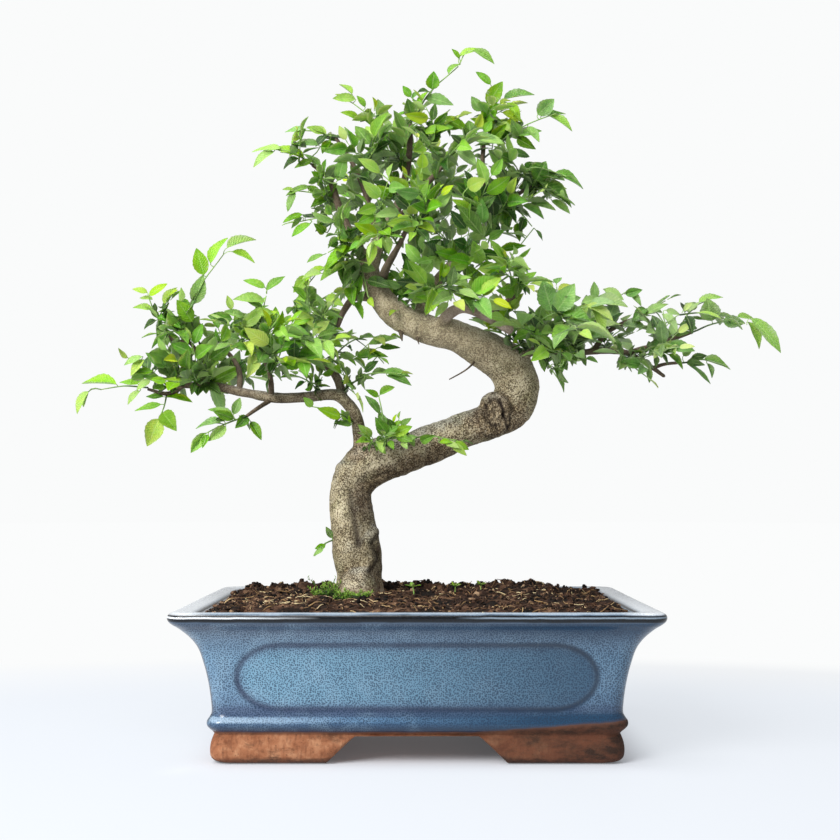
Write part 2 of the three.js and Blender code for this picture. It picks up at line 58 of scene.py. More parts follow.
# Pot: [height, inset from the edge of the rim]
RIM_LENGTH = 260
RIM_DEPTH = 200
CORNER_RADIUS = 9
FLOOR_HEIGHT = 20
FLOOR_INSET = 70
INNER_WALL = [[20, 29], [22, 27], [27, 25.8], [45, 23.6], [60, 20], [72, 15.6], [79.6, 13.6]]
RIM_AND_WALL = [
    [79.6, 13.6], [80.4, 12.6], [81.1, 11], [81.6, 8.6], [81.9, 4.4], [81.7, 1.2], [80.8, -0.9], [79.2, -1.6],
    [77.2, -1.1], [75.4, 0.5], [73.4, 3.1], [70.6, 6.1], [67, 9.3], [63, 11.9], [53, 15.2], [42, 17.5],
    [31.4, 18.8], [28.4, 19], [26, 18.8], [24.3, 17.9], [22.5, 16.8], [20.4, 16.7], [18.4, 17.9], [16.8, 19.4],
    [15.4, 20.4]]
FOOT_SIDE = [[15.4, 20.4], [12.6, 19.3], [9, 18.5], [5.8, 18.4], [3, 18.9], [1.3, 20.2], [0.4, 22.2], [0, 24.8]]
FOOT_INSIDE = 33.1
BASE_HEIGHT = 15.4
GAP_HEIGHT = 15.1
# The sole and the inner side of a foot, and the base between the feet
FOOT_SOLE = [[0, 28.6], [0, FOOT_INSIDE - 1.5], [0, FOOT_INSIDE], [BASE_HEIGHT, FOOT_INSIDE],
             [BASE_HEIGHT, FLOOR_INSET]]
FOOT_ENDS_X = [33, 48.5]
FOOT_ENDS_Y = [20, 35]
DRAIN_RADIUS = 11
DRAIN_OFFSET = 56
PANEL_CENTRE = 46.5
PANEL_HALF_HEIGHT = 17.5
PANEL_END = 24
PANEL_STRAIGHT_FRONT = 72
PANEL_STRAIGHT_SIDE = 36
PANEL_REACH = 14.0
# Columns of the pot's mesh along a long side, along a short side and round a corner
POT_COLUMNS = [168, 112, 14]
POT_ROW_SPACING = {"inner": 4, "outer": 0.85, "foot": 1.6}
# Where the glaze breaks thin over an edge: [height, inset, width, strength]
ARRISES = [[80.9, 11.6, 0.8, 0.7], [19, 17.4, 1.2, 0.3]]
# A painted dark reflection down the corners, added to the same darkening: degrees round from the front, width in
# radians, strength at the left and at the right, lowest and highest point
PAINTED_CORNER_REFLECTION = [70, 0.2, 1.3, 0.5, 22, 79]
GLAZE_EDGE = 17.2
# Lowest and highest point of the glaze's bands of blue, and of the black and white ones on the rim's nose
BLUE_BANDS = [19.3, 89.3]
NOSE_BANDS = [77.8, 83.8]
# From grain to grain of the pepper in the glaze and the stipple on the bark, and across a flake of bark
PEPPER_SIZE = 1.05
STIPPLE_SIZE = 0.8
FLAKE_SIZE = 4.2

# Soil: [inset from the edge of the rim, height]
SOIL_EDGE = 14.4
SOIL_PROFILE = [[14.4, 78.6], [18, 80.8], [24, 82.3], [36, 83.6], [55, 84.6], [80, 85.8], [130, 86]]
SOIL_SIDES = [[72, 16.6], [60, 21], [45, 24.6], [27, 26.8], [22.2, 29]]
SOIL_GRID = [209, 155]
# Lumps and clods of the soil: [height, size, seed]
SOIL_LUMPS = [[1.7, 24, 11], [1.3, 9, 12], [0.6, 2.2, 14]]
SOIL_CLODS = [[1, 6.5, 15], [0.4, 2.6, 16]]
CRUMB_SIZE = 0.58
CRUMB_MARGIN = 14.8
FIBRE_MARGIN = 15.5
# The clump of straw: fibres, middle and spread in x, middle and spread in y
STRAW_CLUMP = [50, -74, 8, -52, 12]

# Wood: points [x, y, z, radius]
TRUNK = [
    [[-33, -12, 70, 16], [-33, -12, 76, 16.4], [-34, -12, 84, 15.2], [-34.2, -11, 96, 14],
     [-35, -10, 108, 14.4], [-38.8, -8, 129, 13.2], [-40, -5, 145, 12], [-37, -3, 159, 11.5]],
    [[-38, -4, 152, 11], [-33, -3, 160, 13], [-25, -2, 164, 13.4], [-12, 0, 167, 12],
     [5, 2, 173, 11.8], [26, 4, 182, 11], [46, 6, 189, 11.3], [58, 7, 198, 13.2], [60.6, 7, 209, 13.3],
     [56.6, 6, 221, 13.3], [47, 4, 228.4, 12.3], [36, 2, 234, 11.1], [24, 0, 239.4, 10], [2, -2, 245, 8.6],
     [-12, -2, 252, 8.1], [-22, -1, 263, 7.5], [-28, 0, 275, 6.3], [-29, 1, 286, 5]],
    [[-42, -5, 150, 9], [-37, -3.5, 156, 12.2], [-32, -3, 162, 9]],
    [[-36, -5, 148, 9], [-27, -4, 157, 9.2], [-17, -2, 162, 9.4], [-8, 0, 166, 9.4]],
    [[-33, -13, 102, 9], [-34.5, -21, 89, 11.4], [-34.5, -25, 76, 12]],
]
LIMBS = [
    [[50, 2, 194, 11], [42, 0, 200, 5]],
    [[-29, 1, 284, 5], [-23, 4, 299, 4], [-12, 6, 321, 3.1], [-6, 2, 345, 2.3], [-4, 0, 370, 1.5]],
    [[-32, -3, 162, 8], [-34, -6, 180, 4.6], [-38, -10, 193, 3.6], [-46, -10, 202, 3.5],
     [-67, -6, 202, 3.1], [-88, -2, 202, 3.4], [-108, 4, 206, 2.8], [-125, 10, 210, 2.7],
     [-146, 16, 211, 1.8]],
    [[-44, -9, 201, 2.9], [-48, -2, 213, 2.7], [-56, 8, 223, 2.3], [-68, 16, 233, 1.9], [-74, 20, 243, 1.5]],
    [[56, 4, 226, 5.5], [68, 1, 230, 3], [78, -2, 231, 2.5], [93, -4, 229, 2.2], [114, -6, 230, 2.1],
     [126, -8, 228, 1.9], [135, -8, 223, 1.7], [148, -8, 214, 1.3]],
    [[0, 0, 246, 6], [7, 8, 266, 4], [23, 10, 287, 3.2], [42, 8, 307, 2.6], [55, 4, 322, 1.8],
     [69, 2, 332, 1.2]],
    [[-29, 1, 282, 4.5], [-40, -4, 300, 3], [-48, -4, 319, 2.4], [-54, -6, 335, 1.7], [-64, -8, 343, 1.2]],
]
CUT_BRANCH = [
    [15, -2, 243, 4.6], [18, -15, 250, 3.6], [27, -24, 253.5, 3], [39, -26, 248.5, 2.8], [55, -26, 239.5, 2.7]]
STUBS = [
    [[-10, -4, 243, 2], [-9, -13, 235, 0.8]],
    [[-1, -4, 241, 1.5], [1, -11, 233, 0.6]],
    [[-37, -14, 106, 8], [-30, -18, 114, 7], [-25, -14, 124, 3]],
    [[-28, -15, 112, 4], [-23, -19, 112, 2.2]],
]
TWIGS = [
    [[-88, -2, 203, 2.2], [-88, -12, 215, 1.5], [-92, -20, 228, 1.2]],
    [[-108, 4, 206, 2], [-111, 18, 222, 1.6], [-119, 30, 232, 1.4], [-128, 38, 239, 1.1]],
    [[-132, 12, 210, 1.8], [-132, 8, 220, 1.3], [-131, 4, 234, 1.1]],
    [[-132, 7, 226, 1.3], [-140, 8, 237, 1.2], [-150, 10, 238, 1.1], [-156, 10, 245, 1]],
    [[-144, 15, 211, 1.8], [-153, 18, 206, 1.4], [-167, 20, 209, 0.9]],
    [[-89, -3, 200, 1.6], [-95, -10, 195, 1.2], [-101, -14, 190, 1]],
    [[106, -5, 230, 1.8], [113, -2, 240, 1.6], [122, 2, 246, 1.4], [136, 6, 252, 1.1]],
    [[126, -8, 228, 1.8], [139, -12, 232, 1.4], [152, -15, 236, 1.3], [163, -18, 240, 1]],
    [[140, -8, 219, 1.3], [150, -6, 222, 1], [159, -4, 223, 0.8]],
    [[42, -26, 247, 2], [51, -26, 256, 1.4], [59, -24, 261, 1]],
    [[42, 8, 306, 2.3], [41, 6, 327, 1.8], [40, 5, 344, 1.6], [41, 5, 359, 1.2]],
    [[-28, 0, 264, 3.5], [-38, -4, 262, 2.4], [-44, -6, 254, 1.9], [-48, -4, 245, 1.3]],
    [[-23, 4, 298, 3], [-28, 2, 315, 2.2], [-35, 2, 336, 1.7], [-43, 4, 352, 1.3], [-50, 4, 362, 1]],
    [[-28, 1, 280, 4], [-20, 28, 306, 2.5], [-11, 48, 324, 1.9], [-3, 59, 332, 1.3]],
    [[-24, -2, 267, 3.5], [-16, -26, 280, 2.1], [-9, -42, 290, 1.6], [-5, -51, 297, 1.1]],
    [[-12, 6, 321, 2.5], [5, -6, 331, 1.8], [15, -14, 340, 1.2]],
    [[38, 3, 228, 0.8], [29, -9, 218, 0.5], [19, -13, 212, 0.38]],
]
ROOTS = [
    [[-38, -14, 74, 8], [-58, -24, 66, 4], [-82, -38, 52, 1.8]],
    [[-28, -14, 74, 8], [-6, -26, 66, 4], [22, -44, 52, 1.8]],
    [[-30, -8, 74, 8], [-8, 14, 64, 4], [22, 38, 48, 1.8]],
    [[-38, -8, 74, 8], [-52, 16, 64, 4], [-70, 44, 48, 1.8]],
    [[-33, -12, 62, 9], [-32, -8, 46, 4], [-28, 0, 34, 1.6]],
]
# The scar of a cut limb on the inside of the bend: a swollen lip round a hollow
KNOT = [46, 192.5]
KNOT_SIZE = [8, 11.5]
# Relief of the bark: [height, size, seed], and the ridges that are drawn out along the trunk
BARK_LUMPS = [[0.4, 19, 41], [0.3, 3.6, 43], [0.2, 1.9, 44]]
BARK_RIDGES = [0.36, 7.5, 42]
# Lines in the bark: [rise in mm, width, darkness, points]. The groove and the broad bands down the right of the
# lower trunk, and the dip beside the ridge's right side, are darkened as painted shade.
BARK_LINES = [
    [-1.5, 1.0, 0.95, [[48.8, -8, 199.5], [51.2, -8, 193.5], [52.9, -8, 187.5], [55.3, -8, 180.4]]],
    [-0.9, 0.6, 0.8, [[40.4, -8, 201.9], [41, -8, 196.5], [42.8, -8, 189.3], [44.6, -8, 183.9]]],
    [-0.9, 0.6, 0.7, [[54.7, -8, 191.7], [55.9, -8, 185.7], [54.7, -8, 181.6]]],
    [-0.8, 0.6, 0.7, [[43.4, -8, 201.3], [45.2, -8, 195.3], [45.2, -8, 189.3], [48.1, -8, 182.2]]],
    [-1.3, 2.1, 0.5, [[-39.5, -18, 146.4], [-38, -20, 136], [-33.9, -24, 114.4]]],
    [-0.4, 5.5, 0.4, [[-33, -16, 149], [-34, -18, 140], [-34, -20, 127], [-34, -22, 113]]],
    [0, 5, 0.3, [[-26, -12, 144], [-24, -12, 122], [-23, -12, 100]]],
    [1.2, 2.6, 0, [[-24.6, -22, 122], [-29.8, -24, 114.4], [-26.3, -24, 108.1], [-30.9, -25, 100]]],
    [-0.9, 1.4, 0.45, [[-21.6, -20, 121], [-26.4, -23, 114.4], [-22.9, -22, 107.6], [-27.4, -23, 99]]],
    [-0.9, 0.9, 0.8, [[-27.2, -16, 142.9], [-23.1, -16, 148.7], [-14.9, -16, 151.7]]],
    [-0.8, 0.8, 0.6, [[-26.7, -16, 153.4], [-19.6, -16, 155.8], [-12.5, -16, 158.1]]],
    [-0.3, 1.0, 0.45, [[0.4, -10, 244.9], [-0.8, -10, 238.9], [2.2, -10, 232.3]]],
]
# Where the bark is cracked and flaking: [x, y, z, radius]
WORN_BARK = [[-27, -16, 143, 10], [-17, -14, 151, 10], [-3, -12, 160, 9], [46, -8, 190, 14], [58, -4, 188, 10],
             [-36, -12, 172, 9], [-33, -16, 92, 12], [14, -8, 166, 9]]
# Shoots of each node: path of the stem, leaves on the stem, their length, side shoots, seed
SHOOTS = {
    "left_tip_shoot": [[[[-167, 20, 210], [-184, 23, 211], [-197, 25, 209]], 0, 18, 0, 1]],
    "left_hanging_shoot": [[[[-155, 18, 205], [-156, 12, 195], [-158, 10, 189]], 0, 20, 0, 1]],
    "left_tall_shoot": [[[[-132, 4, 235], [-137, 0, 250], [-129, -4, 272], [-117, -6, 288]], 0, 18, 0, 1]],
    "left_corner_shoot": [
        [[[-156, 10, 246], [-162, 8, 258], [-165, 6, 267]], 1, 15, 1, 23],
        [[[-139, 8, 237], [-143, 0, 248], [-144, -4, 258]], 3, 17, 2, 25],
        [[[-160, 9, 254], [-158, 9, 251], [-155, 9, 245]], 5, 17, 2, 71],
    ],
    "left_end_shoot": [
        [[[-152, 18, 208], [-162, 4, 219], [-173, -4, 225]], 3, 14, 2, 3],
        [[[-133, 12, 211], [-136, -6, 217], [-148, -16, 228]], 5, 17, 2, 20],
        [[[-133, 12, 211], [-129, 12, 212], [-124, 12, 211]], 5, 17, 2, 27],
        [[[-152, 18, 208], [-149, 18, 214], [-144, 18, 219]], 5, 20, 2, 12],
        [[[-152, 18, 208], [-148, 18, 211], [-142, 18, 211]], 3, 20, 2, 46],
        [[[-133, 12, 211], [-129, 12, 212], [-125, 12, 210]], 3, 20, 2, 40],
    ],
    "left_young_shoot": [
        [[[-92, -20, 228], [-92, -23, 245], [-89, -20, 262]], 1, 19, 2, 5],
        [[[-92, -20, 228], [-100, -30, 236], [-107, -34, 249]], 6, 16, 3, 29],
    ],
    "left_bright_shoot": [
        [[[-89, -8, 212], [-80, -30, 226], [-73, -38, 241]], 4, 20, 3, 7],
        [[[-85, -19, 218], [-82, -26, 220], [-80, -35, 220]], 5, 20, 2, 44],
    ],
    "left_upper_shoot": [
        [[[-74, 20, 243], [-74, 14, 264], [-60, 10, 281]], 2, 19, 1, 21],
        [[[-48, -4, 244], [-57, -12, 249], [-67, -16, 254]], 5, 14, 3, 57],
        [[[-58, -6, 203], [-66, -8, 212], [-77, -6, 216]], 6, 13, 2, 18],
    ],
    "left_inner_shoot": [[[[-56, 8, 223], [-38, 6, 238], [-18, 4, 240]], 5, 13, 2, 1]],
    "left_right_shoot": [[[[-44, -9, 206], [-29, -16, 215], [-12, -18, 215]], 2, 14, 3, 35]],
    "left_under_shoot": [[[[-101, -14, 190], [-114, -16, 185], [-127, -18, 178]], 2, 16, 0, 37]],
    "left_back_low_shoot": [[[[-110, 14, 218], [-118, 36, 224], [-129, 54, 236]], 4, 17, 4, 1]],
    "left_back_high_shoot": [[[[-128, 38, 239], [-116, 44, 250], [-104, 52, 262]], 4, 16, 2, 17]],
    "left_back_right_shoot": [[[[-68, 16, 233], [-64, 38, 242], [-58, 56, 256]], 5, 17, 4, 29]],
    "fork_cluster": [
        [[[-29, -14, 173], [-19, -24, 176], [-7, -29, 176]], 7, 9, 4, 7],
        [[[-18, -20, 178], [-20, -22, 190], [-23, -22, 203]], 1, 13, 0, 29],
    ],
    "fork_runner": [[[[-8, -10, 176], [6, -21, 178], [25, -23, 175]], 2, 13, 0, 13]],
    "fork_left_shoot": [[[[-37, -9, 186], [-48, -22, 192], [-62, -26, 195]], 1, 14, 0, 31]],
    "trunk_sprout": [[[[-46, -12, 118], [-55, -16, 114], [-60, -18, 108]], 0, 8, 0, 1]],
    "right_tip_shoot": [[[[163, -18, 240], [180, -22, 245], [193, -26, 243]], 0, 22, 0, 1]],
    "right_tip_upper_shoot": [[[[152, -15, 236], [166, -12, 256], [176, -10, 261]], 0, 20, 0, 1]],
    "right_low_tip_shoot": [[[[159, -4, 223], [174, 0, 225], [188, 2, 221]], 0, 14, 0, 1]],
    "right_under_shoot": [[[[127, -8, 227], [128, -18, 219], [135, -24, 212]], 2, 15, 3, 35]],
    "right_high_shoot": [
        [[[113, -2, 240], [119, 8, 260], [132, 12, 271]], 1, 19, 1, 37],
        [[[136, 6, 252], [145, 4, 258], [152, 2, 262]], 3, 14, 0, 29],
    ],
    "right_middle_shoot": [
        [[[139, -12, 232], [145, -22, 243], [155, -26, 250]], 2, 14, 2, 55],
        [[[133, -10, 225], [139, -26, 227], [150, -32, 229]], 5, 16, 1, 11],
        [[[154, -26, 249], [165, -26, 250], [178, -26, 247]], 5, 20, 0, 31],
    ],
    "right_great_shoot": [
        [[[66, -4, 231], [75, -30, 247], [98, -40, 252]], 2, 25, 3, 11],
        [[[93, -6, 230], [84, -22, 237], [75, -28, 242]], 5, 17, 2, 32],
        [[[89, -14, 233], [92, -8, 234], [94, -1, 232]], 5, 20, 2, 85],
        [[[66, -4, 231], [54, -11, 238], [40, -19, 243]], 5, 14, 0, 58],
        [[[82, -34, 249], [82, -28, 259], [82, -21, 267]], 5, 17, 0, 55],
        [[[89, -14, 233], [93, -8, 233], [97, -1, 229]], 3, 20, 2, 4],
        [[[66, -4, 231], [54, -11, 238], [40, -19, 243]], 3, 17, 2, 43],
        [[[93, -6, 230], [94, -13, 230], [94, -21, 227]], 3, 20, 2, 7],
    ],
    "right_drooping_shoot": [[[[76, -2, 229], [79, -14, 219], [84, -16, 211]], 1, 13, 2, 3]],
    "right_back_shoot": [
        [[[112, -5, 231], [121, 24, 242], [139, 44, 254]], 6, 15, 2, 29],
        [[[86, 0, 231], [93, 26, 243], [102, 46, 257]], 6, 18, 3, 37],
    ],
    "crown_top_shoot": [
        [[[-4, 0, 370], [8, 2, 390], [26, 4, 408]], 1, 17, 1, 5],
        [[[6, 0, 354], [10, 4, 363], [15, 6, 374]], 5, 16, 3, 6],
    ],
    "crown_top_left_shoot": [
        [[[-7, 3, 342], [-28, 2, 374], [-41, 2, 384]], 2, 17, 4, 35],
        [[[-35, 2, 336], [-29, -18, 343], [-23, -26, 351]], 5, 18, 4, 13],
        [[[-12, 6, 321], [-14, 10, 330], [-20, 12, 337]], 5, 15, 1, 16],
    ],
    "crown_left_high_shoot": [[[[-50, 4, 362], [-61, 4, 366], [-73, 4, 367]], 1, 18, 1, 3]],
    "crown_left_long_shoot": [[[[-64, -8, 343], [-75, -12, 349], [-90, -14, 351]], 1, 18, 1, 23]],
    "crown_left_middle_shoot": [
        [[[-48, -4, 319], [-60, -2, 326], [-74, 0, 328]], 2, 15, 2, 39],
        [[[-44, -4, 308], [-58, 2, 312], [-73, 4, 310]], 3, 16, 1, 25],
    ],
    "crown_left_front_shoot": [
        [[[-36, -2, 294], [-44, -24, 291], [-53, -32, 284]], 4, 18, 3, 23],
        [[[-35, 0, 287], [-44, -14, 281], [-55, -18, 275]], 3, 19, 1, 21],
        [[[-35, 0, 287], [-30, 6, 282], [-23, 13, 273]], 3, 20, 2, 74],
        [[[-37, -4, 286], [-33, -11, 276], [-29, -19, 261]], 5, 17, 2, 89],
    ],
    "crown_top_right_shoot": [
        [[[41, 5, 359], [42, 4, 375], [45, 2, 390]], 1, 16, 4, 33],
        [[[15, -14, 341], [20, -30, 344], [27, -38, 349]], 6, 19, 3, 3],
    ],
    "crown_right_high_shoot": [[[[41, 5, 350], [65, -4, 367], [84, -8, 374]], 1, 21, 2, 5]],
    "crown_right_long_shoot": [[[[55, 4, 322], [68, -8, 340], [87, -10, 336]], 5, 18, 3, 30]],
    "crown_right_middle_shoot": [
        [[[69, 2, 332], [80, 4, 328], [91, 6, 323]], 1, 16, 3, 37],
        [[[55, 4, 322], [63, 2, 315], [71, 2, 306]], 3, 15, 1, 17],
        [[[58, 3, 319], [56, 3, 319], [52, 3, 316]], 5, 20, 2, 29],
        [[[58, 3, 319], [56, 3, 326], [53, 3, 330]], 5, 20, 2, 68],
        [[[62, 2, 316], [57, 2, 321], [52, 2, 323]], 3, 20, 2, 84],
    ],
    "crown_front_right_shoot": [[[[42, 8, 306], [40, -24, 306], [35, -42, 310]], 6, 18, 4, 23]],
    "crown_front_middle_shoot": [[[[-5, -51, 297], [4, -62, 302], [12, -68, 309]], 5, 16, 4, 7]],
    "crown_front_left_shoot": [[[[-11, -38, 287], [-18, -56, 296], [-27, -64, 304]], 6, 16, 4, 15]],
    "crown_front_low_shoot": [
        [[[23, 10, 286], [27, -24, 283], [36, -44, 284]], 4, 17, 4, 23],
        [[[23, 10, 286], [20, 6, 296], [13, 4, 305]], 5, 15, 1, 14],
    ],
    "crown_low_bright_shoot": [
        [[[5, 5, 260], [9, -30, 264], [22, -46, 265]], 2, 18, 4, 33],
        [[[5, 5, 260], [-2, -2, 259], [-11, -10, 254]], 3, 14, 2, 57],
        [[[18, -41, 265], [19, -48, 261], [21, -57, 253]], 5, 20, 2, 43],
        [[[5, 5, 260], [-4, 8, 272], [-14, 8, 284]], 5, 15, 2, 9],
    ],
    "crown_low_right_shoot": [[[[59, -24, 261], [56, -30, 268], [52, -34, 279]], 4, 18, 3, 15]],
    "crown_back_left_shoot": [[[[-20, 28, 306], [-33, 56, 332], [-44, 70, 352]], 7, 19, 5, 7]],
    "crown_back_right_shoot": [[[[-3, 59, 332], [15, 68, 345], [34, 72, 358]], 7, 19, 5, 23]],
    "crown_back_top_shoot": [[[[-6, 2, 345], [-3, 34, 358], [2, 54, 375]], 5, 19, 5, 13]],
    "crown_back_low_shoot": [[[[-13, 44, 320], [6, 66, 314], [20, 74, 305]], 6, 19, 5, 27]],
}
